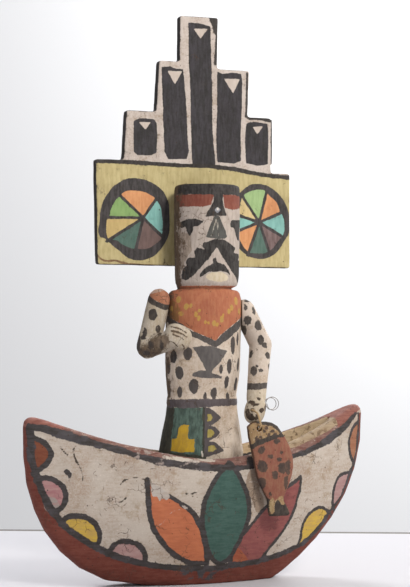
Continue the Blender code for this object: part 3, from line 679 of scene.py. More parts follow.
def paint_figure(points):
    """The doll's colours: mask, bandana, body and kilt, drawn in degrees round it."""
    z = points[:, 2]
    sheet = unroll(points)
    around = sheet[:, 0] / ARC

    def patch(shape, smooth=False):
        return inside(sheet, turned(shape), smooth)

    def line(shape, width):
        return along(sheet, turned(shape), width, smooth=False)

    coats = {}
    on_head = z > NECK
    crown = z - 305.6
    coats["head_red"] = most(
        patch([
            (-130, 306.5), (-4, 306), (-7, 303), (-10, 297.1), (-27, 296), (-56, 296.4), (-86, 296),
            (-130, 296)]),
        patch([
            (13, 306), (66, 306.8), (130, 307), (130, 296), (63, 295.8), (41, 294.2), (17, 295)]))
    bar = patch([(-5, 307), (13, 307), (13, 301.1), (16, 295.6), (23, 288.9), (3, 289.2),
                 (-21, 288.3), (-15, 293.4), (-6, 300)])
    left_eye = patch([
        (-72, 284.2), (-55, 286.2), (-37, 286.2), (-24, 284.4), (-33, 280.9), (-43, 280),
        (-44, 276.8), (-51, 272.8), (-57, 277.4), (-60, 280.3), (-72, 279.5)], True)
    right_eye = patch([
        (33, 285), (44, 286.2), (80, 286.4), (78, 281), (66, 280), (64, 271), (55, 270.6),
        (47, 275), (42, 279.5), (33, 280.5)], True)
    vee = patch([
        (-1, 271), (-10, 269.4), (-24, 267.5), (-25, 264.2), (-21, 262.8), (-36, 263.6), (-41, 261),
        (-39, 256.3), (-54, 256), (-59, 253.2), (-57, 249.9), (-66, 247.3), (-71, 242.6),
        (-70, 239), (-56, 238.2), (-38, 243.3), (-25, 249.8), (-9, 257.2), (3, 264.7), (15, 256.5),
        (31, 248.2), (49, 241.9), (62, 237.3), (76, 237.3), (80, 247), (82, 253), (58, 254.9),
        (66, 257), (62, 259.4), (42, 260.4), (48, 263.9), (30, 267.8), (14, 270.3)])
    lip_hair = patch([
        (0, 256.4), (4, 252.2), (18, 250.8), (30, 246.8), (35, 242.3), (26, 244.1), (13, 245.6),
        (1, 244.6), (-11, 244.9), (-20, 242.5), (-29, 240.6), (-30, 243.3), (-22, 246.5),
        (-16, 249.5), (-4, 251), (-4, 254.9)])
    coats["head_black"] = most(crown, bar, left_eye, right_eye, vee, lip_hair)
    coats["dust"] = np.where(on_head, 3.0, FAR)
    coats["grime"] = only(on_head, patch([
        (-82, 300), (-70, 276), (-48, 275), (-46, 262), (-62, 252), (-82, 236)]))
    coats["diamond"] = patch([(-4, 293), (2, 296), (9, 293.6), (3, 290.8)])
    coats["nose"] = patch([
        (-3, 289), (4, 289.2), (13, 283.6), (24, 273), (19, 271), (4, 270.4), (-20, 271.8),
        (-13, 279)])
    coats["nose_line"] = most(
        line([(0, 286), (-6, 276), (-9, 273)], 0.9), line([(3, 286), (4, 277), (6, 273)], 0.9))
    coats["lip"] = patch([
        (-18, 241.8), (-8, 244.3), (6, 244.8), (20, 244.2), (30, 240.8), (26, 237.9), (5, 237.4),
        (-12, 238.7)], True)
    # Painted shade with some dirt: the doll's left side, turned away from the light, is darkened,
    # most on the head and least on the kilt
    turned_away = np.abs(around + 130)
    reach = np.where(on_head, 59, np.where(z < 139, 20, 48))
    coats["smoke"] = np.maximum((reach - turned_away) * ARC * 0.07, FAR)

    edge_top = [
        (-180, 214), (-130, 213), (-97, 210.8), (-84, 210.4), (-73, 207.4), (-57, 203.3),
        (-40, 198.5), (-21, 195.1), (-4, 192.4), (6, 190.6), (18, 195.6), (32, 199.8), (51, 204.9),
        (77, 210.8), (130, 213), (180, 214)]
    edge_low = [
        (-180, 209), (-130, 208), (-96, 206.3), (-80, 203.6), (-46, 195.7), (-25, 191), (-4, 187.6),
        (7, 185.4), (18, 187.6), (32, 191.6), (46, 195.8), (65, 200.6), (80, 206), (130, 208),
        (180, 209)]
    cloth = patch(edge_top + [(180, 240), (-180, 240)])
    coats["cloth"] = only(z < NECK, cloth)
    coats["olive"] = only(z < NECK, least(cloth, most(
        oval(sheet, -88 * ARC, 212, 26, 24), oval(sheet, 84 * ARC, 216, 14, 26))))
    dots = [
        (-66, 223.1, 4, 5), (-52, 217.6, 3.4, 5), (-44, 218.4, 2.4, 4), (-35, 211.7, 3.4, 5),
        (-29, 208.8, 3, 4.4), (-16, 205.4, 3.4, 4.4), (-10, 204.9, 2.6, 3.4), (2, 204.6, 4.2, 5),
        (9, 203.4, 3, 4), (19, 207.9, 4.2, 5), (23, 211.2, 3, 3.4), (36, 214.2, 3.6, 4.4),
        (43, 216.4, 4, 5.4), (55, 222.4, 4, 6), (-29, 214.6, 3, 3), (-60, 212, 5, 4),
        (62, 214, 4, 5), (-78, 216, 4, 5)]
    coats["ochre"] = most(*(oval(sheet, a * ARC, h, w, t) for a, h, w, t in dots))
    coats["scarf_edge"] = patch(edge_top + edge_low[::-1])

    hour = [
        (-39, 185.8), (-24, 186.9), (-8, 186.6), (7, 185.6), (33, 183.2), (26, 178.1), (13, 172.5),
        (1, 167.4), (0, 165.6), (12, 164.6), (23, 162.6), (22, 161.2), (-2, 161.4), (-23, 161.6),
        (-39, 163.4), (-36, 166.4), (-24, 167.8), (-13, 167.4), (-20, 172.6), (-31, 179.6)]
    coats["hourglass"] = patch(hour)
    spots = [
        (-72, 178, 6.5, 10), (-47, 180.7, 7, 10), (45, 187, 5, 14), (-61, 165.4, 7, 10.5),
        (-84, 169, 6, 10), (-37, 155.4, 8.6, 12), (-62, 150.6, 4.4, 9), (-88, 152.4, 6.5, 12),
        (39, 170.6, 5.4, 12), (20, 168.4, 4, 8), (35, 158.4, 5.4, 10), (61, 156, 5, 11),
        (6, 149.4, 7, 9.6), (-14, 147.4, 4, 7), (40, 147, 4, 6), (63, 171, 3.4, 10),
        (58, 192, 3.4, 10)]
    behind = [(100, 180), (128, 168), (152, 184), (178, 172), (-158, 186), (-134, 171),
              (-108, 184), (112, 155), (140, 151), (168, 155), (-164, 153), (-120, 155), (84, 186)]
    spots += [(a, h, 6.5, 10.5) for a, h in behind]
    coats["spots"] = most(*(oval(sheet, a * ARC, h, w, t) for a, h, w, t in spots))

    coats["belt"] = patch([
        (-190, 145), (-98, 144.6), (-23, 145.4), (63, 144.9), (190, 144), (190, 139), (64, 139.6),
        (12, 139.4), (-22, 138.4), (-97, 138), (-190, 138)])
    coats["kilt_green"] = patch([(-84, 139), (-16, 139), (-16, 100), (-60, 96), (-74, 96)])
    coats["kilt_dark"] = most(
        patch([(-134, 139), (-70, 139), (-69, 126), (-68, 108), (-62, 96), (-134, 96)]),
        line([(-15.5, 141), (-14.5, 127.7), (-14, 115), (-14, 98)], 3.6),
        patch([(-70, 104), (-14, 101.4), (-14, 96), (-70, 98)]))
    coats["kilt_yellow"] = patch([
        (-67, 104.8), (-67, 114), (-59.5, 114.4), (-58.5, 115.4), (-59, 123.6), (-51, 125.4),
        (-42.6, 124.8), (-42.5, 115.2), (-41.5, 114.4), (-32, 114.2), (-31, 108.7), (-31.5, 104.4),
        (-48, 103.8)])
    scallops = [
        (-14, 139), (-4, 138), (8, 135.2), (22, 130.6), (12, 127.5), (2, 125.2), (-6, 124.6),
        (7, 123.6), (18, 119.3), (10, 115.7), (0, 113.7), (-6, 112.4), (6, 111.4), (16, 108.2),
        (25, 104.5), (14, 103), (-2, 100.8), (-14, 100)]
    coats["scallop_black"] = patch(scallops)
    coats["scallop_yellow"] = most(
        patch([(-8.5, 133.8), (0, 133.4), (5, 130.4), (-1, 127.6), (-8.5, 127.6)]),
        patch([(-8, 121.8), (1, 121.6), (6, 118.6), (0, 115.4), (-8, 115.2)]),
        patch([(-7, 109), (5, 108.6), (9.5, 106.2), (2, 104.2), (-6.5, 104.4)]))
    # A chip of paint on the kilt, and a pale dot in the middle of the brow's diamond that is a
    # painted highlight
    coats["chip"] = most(
        line([(-18.5, 104.4), (-17, 100.8)], 1.6), oval(sheet, 3 * ARC, 294.4, 2.2, 2.6))
    coats["hem"] = patch([(-190, 104), (-110, 104), (-110, 90), (-190, 90)])
    return coats


def make_figure():
    coats = [
        ("dust", "#a99c92", "#bdb0a5", 0.5), ("grime", "#8b7c6e", "#a29385", 0.7),
        ("head_red", "#783f33", "#875141", 0.35), ("lip", "#cfc2ab", "#c3b292", 0.62),
        ("nose", "#595954", "#494845", 0.15), ("nose_line", "#b3aca0", "#989184", 0.3),
        ("head_black", "#272422", "#45413f", 0.3), ("diamond", "#7b7c82", "#9c9ea3", 0.4),
        ("cloth", "#a05e45", "#ad6f4f", 0.22), ("olive", "#7d5a38", "#93653f", 0.7),
        ("ochre", "#b58a44", "#a98a4e", 0.66), ("scarf_edge", "#45413e", "#585350", 0.3),
        ("hourglass", "#575352", "#65605d", 0.2), ("spots", "#474240", "#544d4a", 0.22),
        ("kilt_green", "#566a60", "#3a4841", 0.35), ("kilt_dark", "#33332c", "#424036", 0.25),
        ("belt", "#4f4848", "#5d5557", 0.25), ("kilt_yellow", "#bc9829", "#a78530", 0.42),
        ("scallop_black", "#575050", "#4b4545", 0.2),
        ("scallop_yellow", "#a89a60", "#97873f", 0.55), ("hem", "#4b4744", "#585350", 0.3),
        # The brown coat that darkens the doll's left side is painted shade, with some dirt
        ("smoke", "#4f4033", "#6b5846", 0.55), ("chip", "#d5d0c8", "#c9bbae", 0.0)]
    wood = painted_wood("gessoed_and_painted_cottonwood_doll", ("#cfc2b4", "#bfae9c"), coats,
                        brush=(2.0, 2.0, 8.0), cracks=0.45, specks=0.3)
    make_carved(
        "figure", paint_figure, wood, grain=0.98, knife=0.3, reshape=square_head)


# Stepped board


def flare_steps(piece):
    """The right edge of each step leans a little further out than the solid's.

    Each row: where the step starts and ends, its edge, and how far it moves at both ends.
    """
    x, y, z = read(piece.data, "co").T
    steps = ((335.0, 372.4, 70.6, 1.2, 2.0), (372.4, 411.6, 48.2, 0.8, 2.6),
             (411.6, 460.0, 22.4, 0.6, 2.2))
    for low, high, edge, first, last in steps:
        share = np.clip((z - low) / (high - low), 0, 1)
        outer = np.clip((x - edge + 8.0) / 7.0, 0, 1)
        x = np.where((z > low) & (z <= high), x + outer * (first + (last - first) * share), x)
    piece.data.vertices.foreach_set("co", (np.stack([x, y, z], axis=1) * MM).ravel())
    piece.data.update()


def paint_board(points):
    """The board's colours: stepped panels above, two wheels on the field below, a plain back."""
    x, y, z = points.T
    sheet = np.stack([x, z], axis=1)
    face = y < BOARD_FRONT + 1.2

    def patch(shape, smooth=False):
        return only(face, inside(sheet, shape, smooth))

    def line(shape, width, smooth=True):
        return only(face, along(sheet, shape, width, smooth))

    coats = {}
    top_line = [(-80, 333.6), (-71.6, 333.4), (-51.9, 333.3), (-32, 332.7), (-11.9, 332.1),
                (3.3, 332.1), (18.7, 332.1), (39.3, 330.4), (54.9, 328), (70.7, 326), (90, 324.9)]
    coats["field"] = patch(top_line + [(100, 325), (100, 240), (-90, 240), (-90, 333)])
    panels = {
        "left_low": [
            (-46.9, 366.4), (-42, 368.8), (-30, 368.8), (-27.3, 365.4), (-27, 355.9),
            (-27.6, 341.6), (-32, 339.3), (-44, 339), (-46.9, 341.8), (-47.2, 354)],
        "left_high": [
            (-23.5, 411.3), (-15.9, 411.9), (-11.9, 410.6), (-4.8, 410.2), (-2.8, 389.4),
            (-1.8, 370.3), (-0.2, 343.5), (-1.8, 337.2), (-17.9, 336.7), (-21, 342.8), (-22, 369.4),
            (-23, 393.2)],
        "middle": [
            (-0.5, 448.4), (9, 448.4), (18.6, 446.6), (19.4, 418), (20.2, 390.5), (20.4, 363.5),
            (22.8, 334.7), (22.6, 331), (3, 331), (2.8, 334.1), (1.8, 360.8), (1.3, 389.6),
            (-0.2, 418.3)],
        "right_high": [
            (24.3, 410), (29, 408.3), (37.2, 409.7), (45.5, 409.2), (46.6, 401.5), (46.1, 382),
            (45, 362.6), (45, 337.4), (39.3, 335.2), (24.8, 335.7), (23.3, 352.1), (24.3, 381.1)],
        "right_low": [
            (49.7, 368.6), (58.1, 370.2), (68.6, 368.9), (69.4, 363.6), (69.4, 353.8),
            (69.1, 335.3), (60.2, 334), (49.7, 335.6), (48.7, 353)]}
    panel = most(*(patch(shape) for shape in panels.values()))
    strokes = most(
        line(top_line, 3.4), line([(50.7, 410), (50.7, 401.7), (49.8, 374)], 2.0),
        line([(52.5, 373.6), (62, 373.2), (72.6, 371.6)], 3.6),
        line([(72.3, 371), (72.3, 352), (72, 336)], 1.4),
        line([(24, 452), (23.8, 436), (23, 416)], 2.2),
        patch([(16, 456), (27, 456), (27, 439), (22.6, 440), (20, 446)]))
    rims = np.where(y < BOARD_BACK - 1.0, y - BOARD_FRONT - 0.5, BOARD_BACK - y - 0.6)
    coats["black"] = most(strokes, np.clip(rims, FAR, 4))
    coats["panel"] = panel
    teeth = [
        [(4.5, 443.4), (16.1, 444.1), (9.9, 436.5)], [(-17.9, 407.8), (-5.8, 408.4), (-12.1, 398)],
        [(31, 404.1), (44, 404.3), (38.3, 392.8)], [(-42.4, 365.7), (-33.2, 365.6), (-37, 360)],
        [(55.5, 365.9), (63.9, 366.3), (59.7, 359.8)]]
    coats["tooth"] = most(*(patch(tooth) for tooth in teeth)) + 0.25

    wheels = [
        dict(
            hub=(-38.8, 289.0),
            outer=[
                (-54, 319.5), (-46.1, 320.8), (-36, 319.2), (-28, 315.6), (-21.2, 309.9),
                (-17.7, 302.4), (-16.6, 295.9), (-16.3, 287.2), (-16.8, 277.4), (-20, 269.8),
                (-24.6, 263.2), (-30.2, 258.2), (-37, 255.4), (-45, 254.8), (-52.8, 257.4),
                (-60.1, 263.2), (-66.3, 267.9), (-70.5, 271.7), (-74.6, 273.1), (-76.3, 277.4),
                (-75.6, 283.3), (-74.6, 291.3), (-73, 299.9), (-68.5, 307.5), (-63, 314.1)],
            inner=[
                (-56.3, 309.1), (-50.6, 311.2), (-39.4, 310.7), (-30, 306.6), (-26.6, 303.4),
                (-22.9, 295.7), (-21.6, 283.8), (-22.1, 274.6), (-23.4, 271.7), (-28, 267.5),
                (-34.8, 263.9), (-41.6, 263.1), (-50.6, 264.1), (-58.2, 267.8), (-61.3, 270.1),
                (-68.5, 271.3), (-70.3, 277.5), (-69.6, 287.1), (-67.4, 291.5), (-66.3, 295.8),
                (-61.8, 303.6), (-57.9, 306.9)],
            spokes=[
                (-60, 308), (-23.6, 310.4), (-13, 265), (-47.6, 253), (-76, 265.2), (-78, 288.6)],
            colours=["tangerine", "turquoise", "plum", "deep_green", "straw", "leaf"]),
        dict(
            hub=(61.3, 287.4),
            outer=[
                (44, 310.5), (48.7, 315.1), (54, 318.3), (58.8, 319.1), (65.4, 318.6),
                (71.3, 316.3), (78.5, 311.5), (83.4, 305.5), (87, 298.3), (88.4, 288.3),
                (87.6, 279.3), (83.3, 271.5), (77.3, 263.6), (70.1, 258.5), (61.7, 257.3),
                (53.4, 258.8), (47, 262.6), (41.4, 268), (38.6, 278.5), (38, 287.3), (39.4, 300.5)],
            inner=[
                (46.3, 308.9), (52.2, 313), (59.4, 315), (66.5, 314.5), (70.7, 310.1),
                (77.3, 304.7), (79.7, 298.1), (83.3, 292.6), (84.5, 284.9), (83.3, 277.6),
                (79.1, 272.5), (73.7, 265.8), (65.3, 261.4), (53.4, 261.6), (49.3, 264.3),
                (44.5, 270.8), (42.4, 278.5), (42, 289.5), (43.5, 299.5)],
            spokes=[
                (40.6, 317), (70.3, 322.6), (92, 300.4), (94, 269.3), (74, 252.4), (47.6, 251),
                (33.6, 276.4), (34, 295.4)],
            colours=[
                "pale_green", "tangerine", "turquoise", "mauve", "deep_green", "tangerine",
                "turquoise", "pale_straw"])]
    ring = []
    for wheel in wheels:
        hub, spokes = wheel["hub"], wheel["spokes"]
        disc = patch(wheel["inner"], True)
        for index, name in enumerate(wheel["colours"]):
            sides = spokes[index], spokes[(index + 1) % len(spokes)]
            ends = [tuple(2.0 * np.array(end) - hub) for end in sides]
            wedge = least(disc, patch([hub] + ends))
            coats[name] = most(coats[name], wedge) if name in coats else wedge
        hoop = least(patch(wheel["outer"], True), np.maximum(0.7 - disc, FAR))
        ring += [hoop] + [least(disc + 3.0, line([hub, spoke], 2.5, False)) for spoke in spokes]
    coats["wheel_black"] = most(*ring)
    coats["back"] = np.where(y > BOARD_BACK - 0.5, 3.0, FAR)
    coats["dirt"] = most(
        line([
            (-77, 258.6), (-74, 255.6), (-69, 254), (-62, 254.4), (-55, 252.6), (-44, 251.4),
            (-24, 250.6)], 1.7), line([(-82, 249.6), (0, 249), (90, 248.4)], 1.4))
    return coats


def make_board():
    coats = [
        ("field", "#c6b888", "#b5a575", 0.24), ("back", "#c2b7a6", "#b3a58f", 0.2),
        ("tangerine", "#dba06f", "#d08f62", 0.16), ("turquoise", "#8fc3ba", "#7fb3ab", 0.15),
        ("plum", "#7b6560", "#6a5854", 0.3), ("mauve", "#6c5957", "#84706e", 0.4),
        ("deep_green", "#4f6a60", "#5d766b", 0.25), ("straw", "#d0b77e", "#c3a970", 0.2),
        ("pale_straw", "#d6c290", "#cbb684", 0.15), ("leaf", "#91b070", "#84a466", 0.1),
        ("pale_green", "#a6c189", "#98b47d", 0.1), ("wheel_black", "#383534", "#514c4c", 0.26),
        ("dirt", "#7a5f44", "#8a6d50", 0.4), ("panel", "#312f2e", "#403c40", 0.22),
        ("black", "#312d2a", "#45403e", 0.26), ("tooth", "#cbbeb3", "#bfb1a5", 0.0)]
    wood = painted_wood("painted_cottonwood_board", ("#cbbfb6", "#bdb0a6"), coats,
                        brush=(2.2, 3.0, 12.0), cracks=0.15, specks=0.12, ragged=0.55)
    make_carved(
        "tablita", paint_board, wood, grain=0.95, knife=0.25, reshape=flare_steps)


# Arms


def paint_right_arm(points):
    """A red shoulder cap, a black band and spots, dirt on the elbow and fist, and painted shade."""
    x, y, z = points.T
    side = np.stack([x, z], axis=1)
    slope = np.array([0.30, -0.36, 0.88]) / np.linalg.norm([0.30, -0.36, 0.88])
    height = (points - np.array([-38.0, -11.0, 219.6])) @ slope
    coats = {
        "cap": np.clip(height - 1.6, FAR, 5),
        "cap_light": ball(points, (-38, -3, 233), (17, 17, 11))}
    spots = [
        ((-41.7, -12, 211.7), (6.4, 9, 10.5)), ((-47.9, -10.9, 198), (4.2, 7, 9)),
        ((-38, -14, 200.2), (4.4, 8, 6)), ((-49.5, -11, 193.6), (5, 7, 4)),
        ((-46, 4.5, 208), (8, 8, 11)), ((-50, 3, 192), (8, 8, 10)),
        ((-44.3, -14, 187.8), (6, 10, 8)), ((-38, -20, 190), (5, 12, 13)),
        ((-47, -12, 181.5), (6, 8, 4))]
    # The arm's left edge, turned from the light, is darkened: partly black paint, partly painted
    # shade
    left_edge = least(-x - 46.8 + (z - 222) * 0.13, 226 - z, 9.0 - y)
    coats["black"] = most(np.clip(2.1 - np.abs(height), FAR, 4), np.clip(left_edge, FAR, 4),
                          *(ball(points, *spot) for spot in spots))
    coats["soot"] = inside(side, [
        (-54, 186.3), (-49, 189.6), (-43.8, 193.6), (-38.4, 198), (-36.5, 193.7), (-38, 188.9),
        (-36.1, 184.3), (-40.5, 177.2), (-54, 177.1)], False) * 0.3
    # Dark lines between the fingers: painted shade in the finger grooves, with the dirt in them
    fingers = [
        [(-32.4, 201.8), (-26, 200.2), (-20.6, 197.2)],
        [(-32.8, 198.9), (-26.5, 197.2), (-20.6, 193.8)],
        [(-31.6, 195.8), (-26, 193.6), (-21.6, 190.6)],
        [(-33.6, 190.8), (-30.5, 189.2), (-27.6, 186.6)], [(-24, 188), (-22, 186), (-21.4, 184)]]
    coats["crease"] = only(y < -27, most(*(along(side, finger, 1.1) for finger in fingers)))
    coats["grime"] = most(
        ball(points, (-41, -28, 190), (13, 16, 17)),
        ball(points, (-30, -36, 184), (16, 10, 5))) * 0.4
    return coats


def make_right_arm():
    coats = [
        ("cap", "#9f684c", "#aa765c", 0.3), ("cap_light", "#bba395", "#b18e7b", 0.45),
        ("soot", "#71604d", "#4d4035", 0.62), ("grime", "#81705e", "#6b5a49", 0.5),
        # The last coat is painted shade and dirt in the finger grooves
        ("black", "#3a3431", "#4d453f", 0.4), ("crease", "#493d32", "#625140", 0.3)]
    wood = painted_wood("gessoed_and_painted_cottonwood_right_arm", ("#b9ae9e", "#a99b85"), coats,
                        brush=(2.0, 2.0, 7.0), cracks=0.6, specks=0.45)
    make_carved("right_arm", paint_right_arm, wood, grain=0.72, knife=0.22)


def paint_left_arm(points):
    """Spots, a black band above the wrist, and a bare hand with sooty marks."""
    spots = [
        ((39.0, -7.0, 222.8), (5, 7, 4)), ((36.5, -11.3, 217.4), (3.4, 6, 5)),
        ((43.4, -11.6, 215.6), (3.6, 7, 7)), ((37.3, -12.7, 206.6), (6.2, 8, 8)),
        ((35.2, -8.4, 198.4), (5.6, 8, 10)), ((45.9, -14.7, 202.8), (6.4, 8, 9)),
        ((47.2, -16.9, 192.0), (5.4, 8, 9)), ((49.8, -19.0, 187.4), (4.6, 7, 5)),
        ((51.6, -20.9, 179.0), (6, 7, 5.4)), ((37.9, -24.4, 167.6), (5.4, 8, 10)),
        ((43.0, -27.0, 167.5), (3.4, 5, 3)), ((52.3, -22.0, 170.5), (4, 6, 5)),
        ((38.8, -15.4, 180.0), (4, 6, 9)), ((47.0, 3.0, 208.0), (8, 8, 10)),
        ((50.0, -2.0, 190.0), (8, 8, 10)), ((50.0, -9.0, 172.0), (8, 8, 9))]
    z = points[:, 2]
    rise = z - 155.2 - 0.05 * (points[:, 0] - 40.0)
    coats = {
        "black": most(
            *(ball(points, *spot) for spot in spots), np.clip(2.5 - np.abs(rise), FAR, 3),
            ball(points, (40.5, -24.4, 170.8), (3, 6, 3)))}
    marks = [
        ((31.1, -36.2, 143.0), (7, 8, 3)), ((33.5, -38.7, 141.2), (6, 6, 2.6)),
        ((37.6, -37.1, 145.4), (4, 6, 3)), ((38.4, -39.8, 136.6), (5, 8, 4)),
        ((28.2, -35.7, 133.6), (4, 7, 8)), ((34.8, -39.7, 132.0), (3, 6, 6)),
        ((30.0, -37.6, 131.0), (7, 7, 6)), ((43.0, -36.0, 138.0), (4, 6, 6))]
    coats["soot"] = most(*(ball(points, *mark) for mark in marks))
    coats["hand"] = np.clip(153.0 - z, FAR, 4)
    return coats


def make_left_arm():
    coats = [("hand", "#c3b6a2", "#b0a18c", 0.35), ("soot", "#3c322a", "#534538", 0.55),
             ("black", "#413b37", "#564f4a", 0.36)]
    wood = painted_wood("gessoed_and_painted_cottonwood_left_arm", ("#c5b7aa", "#b5a491"), coats,
                        brush=(2.0, 2.0, 7.0), cracks=0.35, specks=0.4, ragged=1.35)
    make_carved("left_arm", paint_left_arm, wood, grain=0.72, knife=0.22)


# Fish


def paint_fish(points):
    """A bare wooden head and tail, and a red body with spots and a dark edge."""
    x, y, z = points.T
    sheet = np.stack([x, z], axis=1)
    gill = [(26, 108.6), (28.4, 109.4), (33.8, 112.5), (42.3, 115.1), (52.3, 117.6), (58, 118.6)]
    belly = [(80, 118), (80, 66), (60, 67), (52, 70), (46, 66.5), (38, 68), (20, 70), (20, 108)]
    coats = {"body": inside(sheet, gill + belly, False)}
    spots = [
        (36, 93.8, 8.6, 9.6), (35.5, 106.1, 5.4, 6), (48.4, 113, 6, 5), (51.8, 104.1, 4, 4),
        (52, 92.3, 7, 9), (46.6, 86.7, 6, 7), (43.1, 101.2, 6, 4), (35.5, 79.7, 7, 10),
        (50, 98.6, 4, 5), (57.5, 93, 5, 11), (42.7, 71.6, 3, 4), (56, 80, 3, 10),
        (37.4, 120.5, 3, 2.4), (41, 117.3, 2.6, 3.4), (44.5, 121, 3.4, 2.2), (39.6, 123.4, 3, 2),
        (47.4, 118.4, 3, 2.2), (31.5, 114, 2, 4), (34.8, 116.6, 2, 2)]
    coats["spots"] = most(*(oval(sheet, *spot) for spot in spots))
    rims = np.minimum(y + 45.6, -39.6 - y) * 1.5
    coats["side"] = np.clip(rims, FAR, 3)
    coats["black"] = most(
        along(sheet, gill, 3.4),
        inside(sheet, [
            (31, 127.4), (38.4, 126.2), (44.4, 124.4), (49.6, 120.6), (52.4, 116.6), (60, 119),
            (52, 130), (36, 132)], False),
        inside(sheet, [
            (37, 68), (41, 65), (43.4, 57), (46.4, 58), (46.4, 65), (49.6, 68), (53, 64), (58, 66),
            (60, 53), (38, 53)], False) - 0.6,
        along(sheet, [(41.5, 67), (41.6, 61), (40.8, 54)], 3.4))
    coats["tail"] = oval(sheet, 44.2, 63.0, 3.4, 13)
    return coats


def make_fish():
    coats = [
        ("body", "#834f41", "#8c604b", 0.42), ("side", "#4f3a2e", "#674938", 0.4),
        ("spots", "#433833", "#5a473d", 0.45), ("black", "#342e29", "#473f39", 0.36),
        ("tail", "#a9926d", "#937c57", 0.4)]
    wood = painted_wood("painted_cottonwood_fish", ("#9d835e", "#8b6f4e"), coats,
                        brush=(2.0, 2.0, 5.0), cracks=0.3, specks=0.6, ragged=1.7)
    make_carved("fish", paint_fish, wood, grain=0.62, knife=0.2)


# Line and wire


def tube(name, points, bevel, tilt=0.0):
    """A tube along points in millimetres as a mesh; bevel is its width or its section's curve."""
    data = bpy.data.curves.new(name, "CURVE")
    data.dimensions = "3D"
    data.use_fill_caps = True
    if isinstance(bevel, bpy.types.Object):
        data.bevel_mode = "OBJECT"
        data.bevel_object = bevel
    else:
        data.bevel_depth = bevel / 2 * MM
        data.bevel_resolution = 4
    spline = data.splines.new("POLY")
    spline.points.add(len(points) - 1)
    for index, place in enumerate(points):
        spline.points[index].co = (*(np.array(place) * MM), 1.0)
        spline.points[index].tilt = tilt * index
    drawn = bpy.data.objects.new(name + "_path", data)
    bpy.context.scene.collection.objects.link(drawn)
    mesh = bpy.data.meshes.new_from_object(
        drawn.evaluated_get(bpy.context.evaluated_depsgraph_get()))
    bpy.data.objects.remove(drawn)
    bm = bmesh.new()
    bm.from_mesh(mesh)
    bmesh.ops.remove_doubles(bm, verts=bm.verts, dist=1e-6)
    bmesh.ops.recalc_face_normals(bm, faces=bm.faces)
    bm.to_mesh(mesh)
    bm.free()
    mesh.shade_smooth()
    piece = bpy.data.objects.new(name, mesh)
    bpy.context.scene.collection.objects.link(piece)
    return piece


def make_line():
    """The fish's line, out of the hand, through the eye and back: three plies twisted together."""
    route = [
        (31.39, -35.47, 136.8), (31.39, -37.27, 136.91), (31.39, -39.06, 136.73),
        (31.36, -41.44, 136.44), (31.35, -43.29, 136.19), (31.34, -45.12, 135.9),
        (31.35, -46.75, 135.57), (31.42, -48.41, 135.0), (31.69, -49.55, 133.85),
        (32.1, -49.97, 132.2), (32.49, -50.23, 130.5), (32.9, -50.21, 128.76),
        (33.47, -50.01, 127.12), (33.81, -49.22, 125.52), (33.78, -48.24, 124.02),
        (33.76, -46.72, 122.89), (33.76, -44.99, 122.23), (33.76, -43.38, 122.0),
        (34.1, -41.67, 122.42), (34.9, -40.28, 122.9), (35.3, -39.2, 123.9), (35.0, -38.05, 124.9),
        (34.6, -36.89, 124.2), (34.41, -35.81, 124.48), (34.39, -35.62, 126.3),
        (34.39, -35.57, 128.8)]
    points = curve(route, steps=5)
    section = bpy.data.curves.new("plies", "CURVE")
    section.dimensions = "2D"
    ring = section.splines.new("POLY")
    ring.points.add(17)
    for index in range(18):
        angle = 2 * math.pi * index / 18
        reach = LINE_WIDTH / 2 * (0.84 + 0.16 * abs(math.cos(1.5 * angle))) * MM
        ring.points[index].co = (reach * math.cos(angle), reach * math.sin(angle), 0, 1)
    ring.use_cyclic_u = True
    plies = bpy.data.objects.new("plies", section)
    piece = tube("line_twisted", points, plies, tilt=0.55)
    bpy.data.objects.remove(plies)
    piece.data.materials.clear()
    piece.data.materials.append(tan_cotton_line())
    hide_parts("fish_cord")
    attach(piece, "root")


def make_wire():
    """Two turns of thin wire whose ends sit in the hole in the side of the hand."""
    mouth = np.array([44.29, -32.17, 141.4])
    radius = WIRE_LOOP_WIDTH / 2
    centre = mouth + (radius + 1.6, 0, -0.4)
    points = [mouth + (-4.0, -0.8, -0.5), mouth + (-1.5, -0.8, -0.5)]
    for step in range(97):
        share = step / 96
        angle = math.pi * 1.02 + 4 * math.pi * share * 0.985
        size = radius * (1.02 - 0.2 * share)
        points.append(centre + (size * math.cos(angle) - 2.4 * share, 1.8 * share - 0.9,
                                size * math.sin(angle) + 0.5))
    points += [mouth + (-0.6, 0.9, 0.5), mouth + (-3.6, 0.9, 0.5)]
    dress(tube("wire_turns", points, WIRE_WIDTH), "wire_loop", dull_iron_wire())


# Floor, backdrop and light


def slab(name, corners, thick, material):
    """A flat sheet of the set with a thickness: corners in order, in metres."""
    bm = bmesh.new()
    face = bm.faces.new([bm.verts.new(corner) for corner in corners])
    grown = bmesh.ops.extrude_face_region(bm, geom=[face])
    verts = [item for item in grown["geom"] if isinstance(item, bmesh.types.BMVert)]
    bmesh.ops.translate(bm, vec=thick, verts=verts)
    bmesh.ops.recalc_face_normals(bm, faces=bm.faces)
    mesh = bpy.data.meshes.new(name)
    bm.to_mesh(mesh)
    bm.free()
    mesh.materials.append(material)
    made = bpy.data.objects.new(name, mesh)
    bpy.context.scene.collection.objects.link(made)


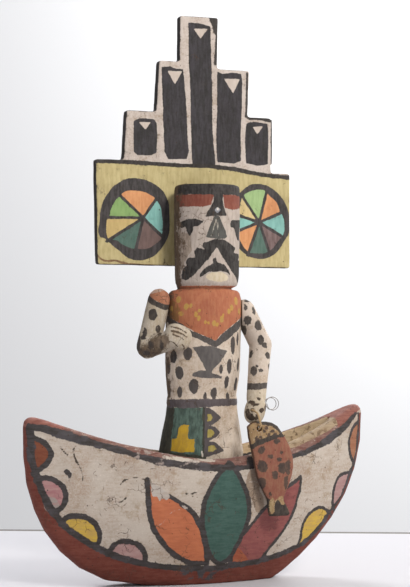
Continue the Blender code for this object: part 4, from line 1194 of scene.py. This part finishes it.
def make_set():
    """A pale table, a thin strip of painted shade behind its back edge, a pale wall far behind."""
    across, ahead = facing(VIEW_TURN + 3.2)  # the table isn't quite square to the view
    half, deep, edge, seam = across * 1.6, ahead * 2.6, ahead * 0.292, ahead * 0.3035
    table = [edge - half, edge + half, edge + half - deep, edge - half - deep]
    slab("table", table, Vector((0, 0, -0.03)), studio_paper("table_paper", "#bcbbc0"))
    # A dark strip just behind the table's back edge: painted shade of the gap between table and
    # wall
    strip = [seam - half, seam + half, edge + half, edge - half]
    slab("table_edge", strip, Vector((0, 0, -0.01)), studio_paper("dark_edge", "#6a6562"))
    foot, half, high = ahead * 3.2 - Vector((0, 0, 1.0)), across * 4.0, Vector((0, 0, 5.0))
    wall = [foot - half, foot + half, foot + half + high, foot - half + high]
    slab("wall", wall, ahead * 0.02, studio_paper("wall_paper", "#f4f4f5"))


def lamp(name, place, aim, size, power, tint="#ffffff"):
    """An oblong lamp that looks from a place at another, in metres and watts."""
    light = bpy.data.lights.new(name, "AREA")
    light.shape = "RECTANGLE"
    light.size, light.size_y = size
    light.energy = power
    light.color = colour(tint)[:3]
    made = bpy.data.objects.new(name, light)
    made.matrix_world = aimed(Vector(place), Vector(aim) - Vector(place))
    bpy.context.scene.collection.objects.link(made)


def make_light():
    """Soft daylight, mostly from high in front and from the right, weak from the left.

    One lamp lights the wall, one the table and the upper edges from behind, and a weak one the
    table at the left.
    """
    lamp("key", (0.33, -1.55, 1.32), (0, 0, 0.2), (0.45, 0.45), 25.5, "#fffaf2")
    lamp("side", (1.5, -0.45, 0.9), (0, 0, 0.2), (0.9, 0.9), 11.0, "#fffdf8")
    lamp("fill", (-1.4, -1.3, 0.8), (0, 0, 0.2), (0.6, 0.6), 1.1, "#eef3ff")
    lamp("wall_light", (2.4, 1.5, 2.0), (1.4, 3.1, 0.7), (1.2, 1.2), 130.0)
    lamp("back", (0.12, 1.25, 1.45), (0, 0, 0.1), (0.55, 0.55), 18.0)
    lamp("floor_light", (-0.48, -0.15, 0.30), (-0.48, -0.15, 0.0), (0.4, 0.4), 0.55)
    world = bpy.data.worlds.new("room")
    world.use_nodes = True
    plug(world.node_tree, world.node_tree.nodes["Background"],
         {"Color": colour("#e6e8ee"), "Strength": 0.36})
    bpy.context.scene.world = world
    bpy.context.scene.view_settings.view_transform = "Standard"


def main():
    place_camera()
    make_line()
    make_wire()
    make_boat()
    make_figure()
    make_board()
    make_right_arm()
    make_left_arm()
    make_fish()
    make_set()
    make_light()
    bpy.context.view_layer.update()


main()
